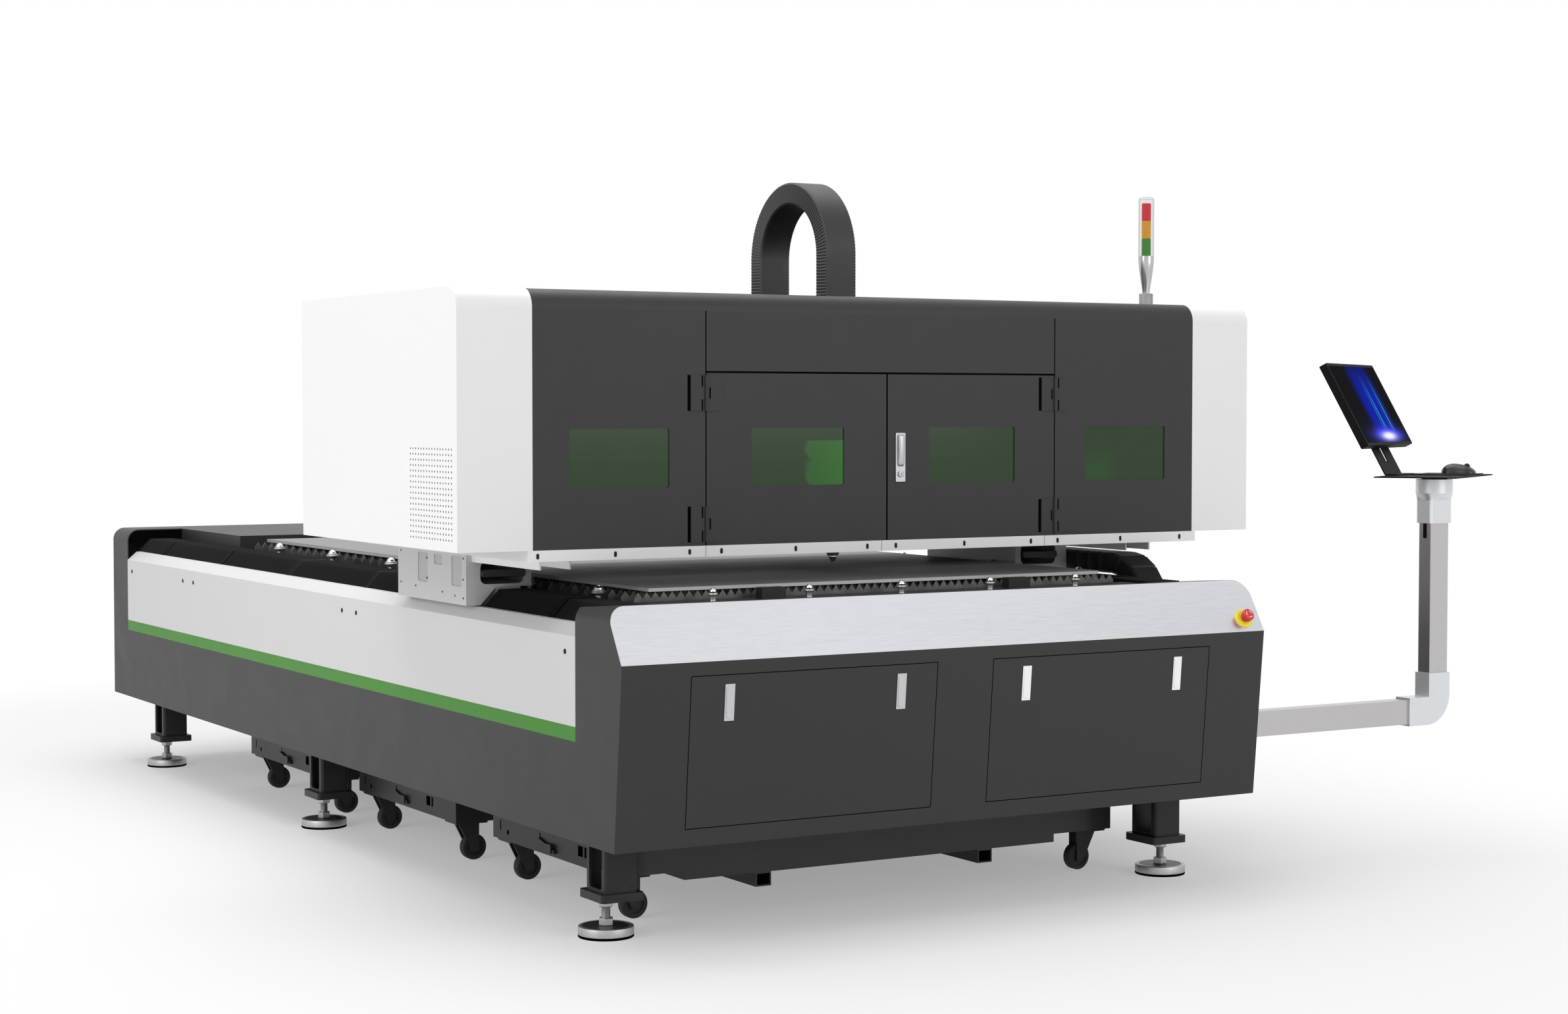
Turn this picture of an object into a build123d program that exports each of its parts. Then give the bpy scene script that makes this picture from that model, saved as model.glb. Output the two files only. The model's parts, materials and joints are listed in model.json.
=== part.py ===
from build123d import *
import os
from math import atan2, cos, hypot, pi, radians, sin, tan

# Open-bed laser cutting machine with a travelling hood, a swivelling console and roll-out slag carts.
# Millimetres, +Z up. X = 0 is the middle of the bed, -Y is the operator's front, Z = 0 is the floor.

# Shared clearances
run_gap = 0.3
seam_gap = 0.8
overrun = 20.0

# Bed outline
bed_half_w = 1050.0
bed_bottom_z = 270.0
bed_front_y = -1971.0
bed_len = 4020.0
bed_rear_y = bed_front_y + bed_len
panel_t = 3.0

# Front housing: sloping cabinet across the front of the bed
front_depth = 268.0
nose_y = bed_front_y - front_depth
nose_z = 752.5
front_undercut = 44.0
front_toe_y = nose_y + front_undercut
front_rake = 87.0
front_top_y = nose_y + front_rake
front_top_z = 897.0
front_back_z = 884.0
front_corner_r = 50.0
front_wall_t = 4.0
fascia_t = 2.0

# Front service doors and their paddle latches
door_in_x = 92.0
door_margin = 202.0
door_out_x = bed_half_w - door_margin
door_bottom_z = 318.0
door_top_z = 715.0
door_t = 4.0
door_fold = 20.0
door_fold_t = 3.0
latch_w = 29.0
latch_len = 97.0
latch_t = 4.0
latch_drop = 24.0
latch_spread = 264.0

# Emergency stop on the fascia
stop_inset = 61.0
stop_x = bed_half_w - stop_inset
stop_up = 41.0
stop_disc_r = 28.5
stop_disc_t = 5.0
stop_head_r = 18.5
stop_head_t = 15.0
stop_stem_r = 11.0
stop_stem_out = 12.0
stop_stem_in = 14.0
stop_head_round = 5.0

# Rear end cap and rear deck
cap_depth = 194.0
cap_rear_y = bed_rear_y + cap_depth
cap_top_z = 925.0
cap_corner_r = 45.0
cap_wall_t = 4.0
deck_len = 709.0
deck_front_y = bed_rear_y - deck_len
deck_t = 3.0

# Side panels: dark skirt, stripe and white upper cover
skirt_top_z = 532.0
stripe_top_z = 571.0
cover_bend_z = 807.0
cover_top_z = 838.0
cover_slope_in = 36.0
cover_lip_in = 60.0
cover_lip_x = bed_half_w - cover_lip_in
skirt_lip = 30.0

# Welded frame
beam_inset = 50.0
beam_w = 140.0
beam_out_x = bed_half_w - beam_inset
beam_in_x = beam_out_x - beam_w
deck_gap = 28.0
deck_half_w = beam_in_x - deck_gap
beam_bottom_z = 330.0
beam_top_z = 790.0
beam_wall = 10.0
cross_w = 60.0
cross_h = 120.0
panel_rail_h = 15.0
ledge_w = 90.0
ledge_in_x = beam_in_x - ledge_w
ledge_t = 10.0
guide_inset = 2.0
guide_t = 12.0
guide_in_x = beam_in_x + guide_inset
guide_out_x = guide_in_x + guide_t
rail_x = (beam_in_x + beam_out_x) / 2
rail_w = 30.0
rail_h = 22.0

# Legs with levelling feet
leg_inset = 135.0
leg_x = bed_half_w - leg_inset
leg_front_in = 61.0
leg_front_y = bed_front_y + leg_front_in
cart_front_in = 591.0
cart_pitch = 1090.0
cart_first_y = bed_front_y + cart_front_in
leg_mid_share = 1.452
leg_mid_y = cart_first_y + leg_mid_share * cart_pitch
leg_rear_in = 106.0
leg_rear_y = bed_rear_y - leg_rear_in
leg_w = 95.0
leg_d = 120.0
leg_wall = 8.0
leg_round = 10.0
leg_window_w = 76.0
leg_window_h = 140.0
leg_window_round = 14.0
flange_w = 125.0
flange_d = 140.0
flange_t = 22.0
flange_bottom_z = 100.0
foot_shift = 17.0
foot_x = leg_x + foot_shift
foot_r = 75.0
foot_rubber_t = 6.0
foot_disc_t = 24.0
foot_disc_round = 4.0
stud_r = 12.0
stud_top_z = 178.0
nut_flats = 36.0
nut_h = 20.0

# Cutting table: slats, sheet and loading balls
sheet_front_in = 145.0
sheet_front_y = bed_front_y + sheet_front_in
slat_lead = 7.5
slat_first_y = sheet_front_y - slat_lead
slat_count = 41
slat_t = 3.0
slat_bearing = 38.0
slat_half_len = ledge_in_x + slat_bearing
slat_tooth_count = 14
slat_tooth_h = 30.0
sheet_side_gap = 11.0
sheet_half_w = ledge_in_x - sheet_side_gap
sheet_rear_gap = 90.0
sheet_rear_y = deck_front_y - sheet_rear_gap
slat_pitch = (sheet_rear_y - sheet_front_y) / (slat_count - 1)
sheet_bottom_z = 905.0
sheet_t = 10.0
sill_gap = 25.0
sill_half_w = beam_in_x - sill_gap
sill_d = 121.0
sill_rear_y = bed_front_y + sill_d
sill_top_z = 880.0
sill_t = 4.0
sill_skirt_h = 70.0
block_x = 413.0
block_w = 76.0
block_d = 34.0
block_h = 30.0
block_in = 82.0
block_y = bed_front_y + block_in
ball_front_in = 59.0
ball_front_y = bed_front_y + ball_front_in
ball_front_pitch = 304.0
ball_side_in = 50.0
ball_side_x = ledge_in_x + ball_side_in
ball_rear_in = 310.0
ball_side_first_y = sheet_rear_y - ball_rear_in
ball_side_count = 6
ball_side_end_share = 0.85
ball_last_in = 181.0
ball_side_last_y = sheet_front_y + ball_last_in
ball_r = 9.5
ball_cup_r = 14.0
ball_cup_h = 10.0
ball_stem_r = 9.0
ball_side_r = 13.0
ball_side_cup_r = 20.0
ball_side_cup_h = 12.0
ball_top_z = 916.0

# Way covers (pleated bellows) on both sides of the table
way_foot_z = 838.3
way_inset = 49.0
way_slope_w = 47.0
way_outer_x = bed_half_w - way_inset
way_shoulder_x = way_outer_x - way_slope_w
way_top_z = 888.0
way_pleat_depth = 12.0
way_skin = 6.0
way_pleat_pitch = 88.0
way_tuck = 30.0
way_rear_y = bed_rear_y + way_tuck

# Gantry end carriages
gantry_out = 701.0
car_front_y = bed_front_y + gantry_out
car_len = 507.0
car_rear_y = car_front_y + car_len
car_overhang = 2.0
car_w = 202.0
car_out_x = bed_half_w + car_overhang
car_in_x = car_out_x - car_w
car_top_z = 996.0
car_foot_z = 842.0
car_foot_w = 44.0
car_belly_z = 893.0
car_slope_in = 48.0
car_wall = 8.0
car_base_in_w = 50.0
car_base_out_w = 28.0
car_base_in_x = rail_x - car_base_in_w
car_base_out_x = rail_x + car_base_out_w
car_block_w = 80.0
car_block_len = 110.0
car_block_top_z = 834.0
car_slot_w = 74.0
car_slot_bottom_z = 894.0
car_slot_round = 8.0
car_liner_in = 20.0
car_short_slot_w = 60.0
car_short_slot_bottom_z = 949.0
car_slot_places_share = (0.376, 0.602, 0.867)
car_notch_out = 44.0
car_notch_in = 22.0
car_notch_out_x = car_out_x - car_notch_out
car_notch_in_x = car_in_x + car_notch_in
car_notch_top_z = 965.0
car_notch_round = 18.0

# Cross beam and head carriage
beam_set_back = 20.0
beam_d = 300.0
beam_front_y = car_front_y + beam_set_back
beam_rear_y = beam_front_y + beam_d
beam_up_z = 1236.0
beam_end_in = 52.0
beam_half_len = car_out_x - beam_end_in
beam_plate = 12.0
xrail_d = 20.0
xrail_h = 20.0
xrail_low_z = 1040.0
xrail_high_z = 1170.0
xrail_end_in = 40.0
xrail_half_len = beam_half_len - xrail_end_in
head_x = 55.0
truck_d = 80.0
head_reach = 120.0
truck_front_y = beam_front_y - truck_d
head_y = truck_front_y - head_reach
truck_half_w = 110.0
truck_bottom_z = 1025.0
truck_top_z = 1205.0
ram_box_w = 140.0
ram_box_d = 120.0
ram_box_wall = 8.0
ram_box_bottom_z = 1130.0
ram_box_top_z = 1480.0
ram_neck_half_w = 50.0
ram_neck_bottom_z = 1140.0
ram_top_z = 1350.0
head_body_top_z = 1120.0
head_body_w = 96.0
head_body_d = 84.0
head_body_bottom_z = 1060.0
head_barrel_r = 32.0
head_barrel_bottom_z = 1005.0
head_cone_r = 17.0
head_cone_bottom_z = 965.0
nozzle_r = 4.0
nozzle_z = 943.0

# Hoop that carries the lines over to the cutting head
hoop_shift = 3.0
hoop_x = head_x + hoop_shift
hoop_w = 105.0
hoop_back = 182.0
hoop_y = head_y + hoop_back
hoop_z = 1855.0
hoop_out_r = 227.0
hoop_in_r = 162.0
hoop_seat_z = 1262.0
hoop_seat_t = 12.0

# Travelling hood
hood_front_out = 566.0
hood_rear_out = 74.0
hood_front_y = car_front_y - hood_front_out
hood_rear_y = car_rear_y + hood_rear_out
trim_h = 30.0
hood_bottom_z = car_top_z + trim_h
hood_h = 692.0
hood_top_z = hood_bottom_z + hood_h
trim_w = 120.0
trim_step = 13.0
hood_box_w = 215.0
trim_in_x = beam_half_len
trim_out_x = trim_in_x + trim_w
hood_half_w = trim_out_x - trim_step
hood_outer_x = hood_half_w + hood_box_w
hood_edge_r = 52.0
hood_t = 4.0
hood_side_t = 3.0
hood_slot_margin = 8.0
hood_seam_w = 2.0
hood_seam_d = 1.5
head_travel_left = 800.0
head_travel_right = 690.0
hood_slot_left_x = hoop_x - hoop_w / 2 - head_travel_left - hood_slot_margin
hood_slot_right_x = hoop_x + hoop_w / 2 + head_travel_right + hood_slot_margin
trim_bar_d = 60.0
arm_chan_in = 91.0
arm_chan_w = 94.0
arm_chan_in_x = car_in_x + arm_chan_in
arm_chan_out_x = arm_chan_in_x + arm_chan_w
arm_chan_set_back = 114.0
arm_chan_front_y = hood_front_y + arm_chan_set_back
arm_chan_h = 30.0
arm_chan_wall = 5.0
hdoor_side = 520.0
hdoor_out_x = hood_half_w - hdoor_side
hdoor_top_z = 1500.0
hdoor_sill = 1.0
hdoor_fold = 18.0
hdoor_fold_t = 3.0
win_h = 160.0
win_z = 1187.0
win_fixed_in = 257.0
win_fixed_x = hood_half_w - win_fixed_in
win_door_x = hdoor_out_x / 2
win_share = 0.511
win_w = hdoor_out_x * win_share
win_round = 6.0
pane_lap = 14.0
pane_t = 5.0
hinge_leaf_w = 48.0
hinge_h = 98.0
hinge_low_z = 1036.0
hinge_high_z = 1394.0
hinge_t = 3.0
hinge_barrel_r = 5.0
handle_x = 44.0
handle_w = 32.0
handle_h = 139.0
handle_z = 1192.0
handle_plate_t = 3.0
handle_t = 10.0
handle_round = 4.0
handle_key_h = 44.0
handle_key_r = 8.0
handle_key_t = 4.0

# Signal tower on the hood
tower_in = 100.0
tower_x = hood_half_w + tower_in
tower_back = 356.0
tower_y = hood_front_y + tower_back
tower_base_r = 22.0
tower_base_h = 48.0
tower_neck_r = 12.0
tower_cup_z = 1885.0
tower_lens_r = 25.0
tower_lens_wall = 3.0
tower_top_z = 2072.0
tower_cap_h = 6.0
tower_core_r = 15.0
tower_core_h = 56.0

# Guide chain along the right side
tray_w = 125.0
tray_out_x = bed_half_w + tray_w
tray_z = 600.0
tray_t = 4.0
tray_lip = 40.0
tray_front_in = 121.0
tray_len = 2370.0
tray_front_y = bed_front_y + tray_front_in
tray_rear_y = tray_front_y + tray_len
chain_gap = 10.0
chain_in_x = car_out_x + chain_gap
chain_w = 105.0
chain_t = 65.0
chain_bend_r = 172.0
chain_lead = 215.0
chain_bend_y = car_front_y - chain_lead
chain_end_in = 20.0
chain_fixed_y = tray_rear_y - chain_end_in
chain_free_in = 254.0
chain_free_y = car_front_y + chain_free_in
chain_link = 62.0
chain_groove = 5.0
chain_bracket_t = 8.0
chain_bracket_len = 60.0

# Console arm and console
arm_lead = 29.0
arm_front_y = bed_front_y - arm_lead
arm_d = 50.0
arm_h = 77.0
arm_z = 403.0
arm_wall = 4.0
arm_flange_t = 8.0
arm_flange_margin = 24.0
arm_reach = 928.0
post_x = bed_half_w + arm_reach
post_w = 76.0
post_top_z = 1087.0
elbow_wall = 6.0
elbow_len = 126.0
elbow_left_x = post_x - elbow_len
elbow_top_z = 561.0
elbow_socket = 60.0
elbow_r = 95.0
collar_bottom_z = 1037.0
collar_square_top_z = 1110.0
collar_round_z = 1132.0
collar_r = 57.5
collar_top_z = 1176.0
collar_wall = 8.0
collar_edge_r = 8.0
port_w = 17.0
port_h = 48.0
port_top_z = 1036.5
console_turn = 32.0
console_w = 500.0
console_d = 256.0
console_t = 4.0
console_hub_r = 40.0
console_hub_h = 8.0
bracket_w = 200.0
bracket_t = 4.0
bracket_foot = 40.0
bracket_len = 300.0
bracket_slot_w = 24.0
bracket_slot_len = 190.0
bracket_slot_up = 45.0
screen_lean = 28.0
screen_w = 550.0
screen_h = 292.0
screen_t = 25.0
screen_up = 237.0
screen_off = 11.0
screen_round = 6.0
screen_boss_r = 11.5
screen_pad = 100.0
knob_r = 25.0
knob_t = 18.0
pad_w = 210.0
pad_d = 180.0
pad_t = 3.0
pad_e = 110.0
pad_f = 16.0
mouse_w = 62.0
mouse_len = 112.0
mouse_h = 38.0
mouse_e = 160.0
mouse_f = 40.0
mouse_round = 17.0

# Slag carts
cart_half_len = 405.0
cart_gap = 20.0
cart_half_w = beam_in_x - cart_gap
cart_floor_z = 126.0
cart_top_z = 262.0
cart_wall = 4.0
cart_wing = 212.0
cart_pan_half_w = cart_half_w - cart_wing
cart_pan_h = 24.0
cart_tube_x = 377.0
cart_tube_w = 50.0
cart_tube_h = 40.0
cart_tube_wall = 4.0
cart_slot_w = 32.0
cart_slot_thin_w = 14.0
cart_slot_h = 30.0
cart_slot_up = 42.0
cart_slot_y = 187.0
cart_slot_gap = 32.0
cart_hole_r = 8.0
cart_hole_y = 299.0
cart_hole_up = 27.0
cart_end_slot_w = 8.0
cart_end_slot_y = 351.0
wheel_in = 83.0
wheel_x = cart_half_w - wheel_in
wheel_y = 344.0
wheel_r = 40.0
wheel_w = 30.0
wheel_round = 4.0
wheel_dish = 6.0
wheel_dish_r = 26.0
axle_r = 7.0
fork_t = 5.0
fork_plate_t = 8.0
fork_plate_len = 104.0
fork_plate_w = 90.0
fork_trail = 22.0
fork_tip_r = 12.0
lever_front = 30.0
lever_back = 76.0
lever_up = 16.0
lever_rise = 23.0
lever_h = 10.0
lever_t = 8.0
lever_block_len = 33.0
lever_block_h = 24.0
lever_block_t = 12.0


def block(x0, x1, y0, y1, z0, z1):
    """Rectangular block between two limits along each axis."""
    size = Box(x1 - x0, y1 - y0, z1 - z0)
    return Pos((x0 + x1) / 2, (y0 + y1) / 2, (z0 + z1) / 2) * size


def both(solid):
    """A piece and its mirror image on the other side of the bed."""
    return [solid, mirror(solid, about=Plane.YZ)]


def along_x(outline, x0, x1):
    """Outline drawn in Y and Z, carried along X."""
    return Pos(x0, 0, 0) * extrude(Plane.YZ * outline, x1 - x0, dir=(1, 0, 0))


def along_y(outline, y0, y1):
    """Outline drawn in X and Z, carried along Y."""
    return Pos(0, y0, 0) * extrude(Plane.XZ * outline, y1 - y0, dir=(0, 1, 0))


def along_z(outline, z0, z1):
    """Outline drawn in X and Y, carried up Z."""
    return Pos(0, 0, z0) * extrude(outline, z1 - z0)


def rect(a0, a1, b0, b1):
    """Rectangle between two limits in the sketch plane."""
    return Pos((a0 + a1) / 2, (b0 + b1) / 2) * Rectangle(a1 - a0, b1 - b0)


def soft_rect(a0, a1, b0, b1, r):
    """Rectangle with round corners between two limits."""
    return Pos((a0 + a1) / 2, (b0 + b1) / 2) * RectangleRounded(a1 - a0, b1 - b0, r)


def arch_top(half_w, bottom, top, r):
    """Rectangle whose two upper corners are round."""
    shape = rect(-half_w, half_w, bottom, top)
    return fillet(shape.vertices().sort_by(Axis.Y)[-2:], r)


def folded(points, thick):
    """Folded sheet: a run of points thickened to the left by mitred offsets."""
    spans = [(b[0] - a[0], b[1] - a[1]) for a, b in zip(points, points[1:])]
    normals = [(-dy / hypot(dx, dy), dx / hypot(dx, dy)) for dx, dy in spans]
    inner = []
    for i, (px, py) in enumerate(points):
        a = normals[max(i - 1, 0)]
        b = normals[min(i, len(normals) - 1)]
        mx = a[0] + b[0]
        my = a[1] + b[1]
        grow = 2 * thick / (mx * mx + my * my)
        inner.append((px + mx * grow, py + my * grow))
    return Polygon(*points, *reversed(inner))


def tube_block(x0, x1, y0, y1, z0, z1, wall, axis):
    """Rectangular tube along one axis, open at both ends."""
    skin = {"x": (0, wall, wall), "y": (wall, 0, wall), "z": (wall, wall, 0)}[axis]
    core = block(x0 + skin[0], x1 - skin[0], y0 + skin[1], y1 - skin[1], z0 + skin[2], z1 - skin[2])
    return block(x0, x1, y0, y1, z0, z1) - core


nodes = {}


def keep(name, *solids):
    """File one or more solids under a piece's name."""
    flat = []
    for item in solids:
        flat.extend(item if isinstance(item, (list, tuple)) else [item])
    nodes[name] = flat


# Frame: two long box beams, cross tubes, rails for the panels, ledges for the slats, rails for the carriages
beam_end_y = cap_rear_y - cap_wall_t
cart_gap_y = (cart_first_y + cart_pitch / 2, cart_first_y + cart_pitch * 3 / 2)
half_beam = tube_block(beam_in_x, beam_out_x, bed_front_y, beam_end_y, beam_bottom_z, beam_top_z, beam_wall, "y")
for low in (bed_bottom_z + panel_rail_h, stripe_top_z - panel_rail_h * 2, cover_bend_z - panel_rail_h * 2):
    foot = max(low, beam_bottom_z)
    half_beam += block(beam_out_x, bed_half_w - panel_t, bed_front_y, bed_rear_y, foot, foot + panel_rail_h)
half_beam += block(ledge_in_x, beam_in_x, bed_front_y, bed_rear_y, beam_top_z - ledge_t, beam_top_z)
half_beam += block(guide_in_x, guide_out_x, bed_front_y, bed_rear_y, beam_top_z, way_foot_z - run_gap)
half_beam += block(
    rail_x - rail_w / 2, rail_x + rail_w / 2, bed_front_y, bed_rear_y, beam_top_z, beam_top_z + rail_h)
frame = half_beam + mirror(half_beam, about=Plane.YZ)
cross_mid = [bed_front_y + cross_w / 2, *cart_gap_y, beam_end_y - cross_w / 2]
for y in cross_mid:
    frame += block(-beam_in_x, beam_in_x, y - cross_w / 2, y + cross_w / 2, beam_bottom_z, beam_bottom_z + cross_h)
keep("bed_frame", frame)

# Legs: square tubes with a window through both side walls, on a thick foot flange
leg_foot_z = flange_bottom_z + flange_t


def leg(y):
    """One leg with its windows, flange and stud hole, on the +X side."""
    body = along_z(soft_rect(leg_x - leg_w / 2, leg_x + leg_w / 2, y - leg_d / 2, y + leg_d / 2, leg_round),
                   leg_foot_z, beam_bottom_z)
    body -= block(leg_x - leg_w / 2 + leg_wall, leg_x + leg_w / 2 - leg_wall, y - leg_d / 2 + leg_wall,
                  y + leg_d / 2 - leg_wall, leg_foot_z, beam_bottom_z)
    window = soft_rect(y - leg_window_w / 2, y + leg_window_w / 2, leg_foot_z + leg_wall,
                       leg_foot_z + leg_wall + leg_window_h, leg_window_round)
    body -= along_x(window, leg_x - leg_w, leg_x + leg_w)
    body += along_z(soft_rect(leg_x - flange_w / 2, leg_x + flange_w / 2, y - flange_d / 2, y + flange_d / 2,
                              leg_round), flange_bottom_z, leg_foot_z)
    return body - Pos(foot_x, y, leg_foot_z) * Cylinder(stud_r + run_gap, flange_t * 3)


def foot_metal(y):
    """Levelling foot: round disc, stud and two hexagon nuts in one turned piece."""
    disc = Pos(0, 0, foot_rubber_t) * Cylinder(foot_r, foot_disc_t, align=(Align.CENTER, Align.CENTER, Align.MIN))
    disc = chamfer(disc.edges().sort_by(Axis.Z)[-1], foot_disc_round)
    base = foot_rubber_t + foot_disc_t
    stud = along_z(Circle(stud_r), base, stud_top_z)
    nut = RegularPolygon(nut_flats / 2, 6, major_radius=False)
    lower = along_z(nut, base, base + nut_h)
    upper = along_z(nut, flange_bottom_z - nut_h, flange_bottom_z)
    return Pos(foot_x, y, 0) * (disc + stud + lower + upper)


leg_rows = (leg_front_y, leg_mid_y, leg_rear_y)
keep("bed_legs", *[both(leg(y)) for y in leg_rows])
pads = [Pos(foot_x, y, foot_rubber_t / 2) * Cylinder(foot_r, foot_rubber_t) for y in leg_rows]
keep("levelling_feet", *[both(pad) for pad in pads], *[both(foot_metal(y)) for y in leg_rows])

# Side panels of the bed
skirt = along_y(folded([(bed_half_w - skirt_lip, bed_bottom_z), (bed_half_w, bed_bottom_z),
                        (bed_half_w, skirt_top_z)], panel_t), bed_front_y, bed_rear_y)
keep("skirts", both(skirt))
stripe = block(bed_half_w - panel_t, bed_half_w, bed_front_y, bed_rear_y, skirt_top_z, stripe_top_z)
keep("stripes", both(stripe))
cover = along_y(folded([(bed_half_w, stripe_top_z), (bed_half_w, cover_bend_z),
                        (bed_half_w - cover_slope_in, cover_top_z), (cover_lip_x, cover_top_z)], panel_t),
                bed_front_y, bed_rear_y)
keep("side_covers", both(cover))

# Front housing: one hollow cabinet, sloping in below the nose and back above it
front_side = Polygon((front_toe_y, bed_bottom_z), (nose_y, nose_z), (front_top_y, front_top_z),
                     (bed_front_y, front_back_z), (bed_front_y, bed_bottom_z))
front_view = arch_top(bed_half_w, bed_bottom_z, front_top_z, front_corner_r)
front_outer = along_x(front_side, -bed_half_w, bed_half_w) & along_y(front_view, nose_y, bed_front_y)
inner_view = arch_top(bed_half_w - front_wall_t, bed_bottom_z + front_wall_t, front_top_z,
                      front_corner_r - front_wall_t)
front_inner = along_x(offset(front_side, -front_wall_t), -bed_half_w, bed_half_w)
front_inner = front_inner & along_y(inner_view, nose_y, bed_front_y)
rise_y = front_top_y - nose_y
rise_z = front_top_z - nose_z
rise = hypot(rise_y, rise_z)
fascia_plane = Plane(origin=(0, nose_y, nose_z), x_dir=(1, 0, 0), z_dir=(0, -rise_z, rise_y))
slab = fascia_plane * Pos(0, rise / 2, -fascia_t / 2) * Box(bed_half_w * 3, rise * 2, fascia_t)
above_nose = block(-bed_half_w, bed_half_w, nose_y - overrun, bed_front_y, nose_z, front_top_z)
slab = slab & above_nose
fall = hypot(nose_y - front_toe_y, nose_z - bed_bottom_z)
front_plane = Plane(origin=(0, front_toe_y, bed_bottom_z), x_dir=(1, 0, 0),
                    z_dir=(0, -(nose_z - bed_bottom_z), nose_y - front_toe_y))
per_z = fall / (nose_z - bed_bottom_z)
door_low = (door_bottom_z - bed_bottom_z) * per_z
door_high = (door_top_z - bed_bottom_z) * per_z


def on_front(outline, depth_out, depth_in):
    """Outline drawn on the sloping front, from one depth inside it to one outside."""
    return front_plane * Pos(0, 0, -depth_in) * extrude(outline, depth_out + depth_in)


def on_fascia(outline, low, high):
    """Outline drawn on the fascia, between two heights over its face."""
    return fascia_plane * Pos(0, 0, low) * extrude(outline, high - low)


stop_hole = Pos(stop_x, stop_up) * Circle(stop_stem_r + run_gap)
housing = front_outer - front_inner - slab
fascia = (front_outer & slab) - on_fascia(stop_hole, -overrun, overrun)
housing -= on_fascia(stop_hole, -overrun, overrun)
for side in (-1, 1):
    lo, hi = sorted((side * door_in_x, side * door_out_x))
    hole = rect(lo - seam_gap, hi + seam_gap, door_low - seam_gap, door_high + seam_gap)
    housing -= on_front(hole, overrun, front_wall_t * 3)
keep("front_housing", housing)
keep("front_fascia", fascia)

for side, tag in ((-1, "left"), (1, "right")):
    lo, hi = sorted((side * door_in_x, side * door_out_x))
    leaf = on_front(rect(lo, hi, door_low, door_high), 0, door_t)
    ring = rect(lo, hi, door_low, door_high) - rect(
        lo + door_fold_t, hi - door_fold_t, door_low + door_fold_t, door_high - door_fold_t)
    keep("front_door_" + tag, leaf + on_front(ring, 0, door_fold))
    mid = (lo + hi) / 2
    paddles = []
    for x in (mid - latch_spread, mid + latch_spread):
        face = rect(x - latch_w / 2, x + latch_w / 2, door_high - latch_drop - latch_len, door_high - latch_drop)
        paddles.append(front_plane * Pos(0, 0, run_gap) * extrude(face, latch_t))
    keep("front_latches_" + tag, paddles)

# Emergency stop: collar on the fascia, mushroom head on a sliding stem
stop_at = Pos(stop_x, stop_up)
keep("stop_collar", on_fascia(stop_at * (Circle(stop_disc_r) - Circle(stop_stem_r + run_gap)), 0, stop_disc_t))
head_low = stop_disc_t + stop_stem_out
stop_profile = Polygon((0, -stop_stem_in), (stop_stem_r, -stop_stem_in), (stop_stem_r, head_low),
                       (stop_head_r, head_low), (stop_head_r, head_low + stop_head_t), (0, head_low + stop_head_t))
outer_rim = stop_profile.vertices().sort_by(Axis.Y)[-2:].sort_by(Axis.X)[-1]
stop_profile = fillet(outer_rim, stop_head_round)
keep("stop_button", fascia_plane * stop_at * revolve(Plane.XZ * stop_profile, Axis.Z))

# Rear end cap, open towards the bed, and the rear deck over the table's end
cap = along_y(arch_top(bed_half_w, bed_bottom_z, cap_top_z, cap_corner_r), bed_rear_y, cap_rear_y)
cap -= along_y(arch_top(bed_half_w - cap_wall_t, bed_bottom_z + cap_wall_t, cap_top_z - cap_wall_t,
                        cap_corner_r - cap_wall_t), bed_rear_y, cap_rear_y - cap_wall_t)
keep("rear_cap", cap)
deck = block(-deck_half_w, deck_half_w, deck_front_y, bed_rear_y, beam_top_z, cap_top_z)
deck -= block(-deck_half_w + deck_t, deck_half_w - deck_t, deck_front_y + deck_t, bed_rear_y - deck_t,
              beam_top_z, cap_top_z - deck_t)
keep("rear_deck", deck)

# Slats with pointed teeth, standing on the ledges
tooth = slat_half_len * 2 / slat_tooth_count
saw = [(-slat_half_len, beam_top_z), (slat_half_len, beam_top_z)]
for i in range(slat_tooth_count):
    right = slat_half_len - i * tooth
    saw.append((right, sheet_bottom_z - slat_tooth_h))
    saw.append((right - tooth / 2, sheet_bottom_z))
saw.append((-slat_half_len, sheet_bottom_z - slat_tooth_h))
slat = along_y(Polygon(*saw), -slat_t / 2, slat_t / 2)
keep("slats", [Pos(0, slat_first_y + i * slat_pitch, 0) * slat for i in range(slat_count)])
keep("work_sheet", block(-sheet_half_w, sheet_half_w, sheet_front_y, sheet_rear_y, sheet_bottom_z,
                         sheet_bottom_z + sheet_t))

# Sill behind the front housing, with the two sheet stops and the loading balls
sill = block(-sill_half_w, sill_half_w, bed_front_y, sill_rear_y, sill_top_z - sill_t, sill_top_z)
sill += block(-sill_half_w, sill_half_w, bed_front_y, bed_front_y + sill_t, sill_top_z - sill_skirt_h, sill_top_z)
stops = block(block_x - block_w / 2, block_x + block_w / 2, block_y - block_d / 2, block_y + block_d / 2,
              sill_top_z, sill_top_z + block_h)
keep("front_sill", sill, both(stops))


def ball_unit(x, y, foot_z, dome_r, cup_r, cup_h):
    """Loading ball: stem, cup and the ball's dome, turned in one."""
    cup_top = ball_top_z - dome_r
    side = Polygon((0, foot_z), (ball_stem_r, foot_z), (ball_stem_r, cup_top - cup_h),
                   (cup_r, cup_top - cup_h), (cup_r, cup_top), (0, cup_top))
    dome = Pos(0, cup_top) * Circle(dome_r) & rect(0, dome_r, cup_top, ball_top_z)
    return Pos(x, y, 0) * revolve(Plane.XZ * (side + dome), Axis.Z)


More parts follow.
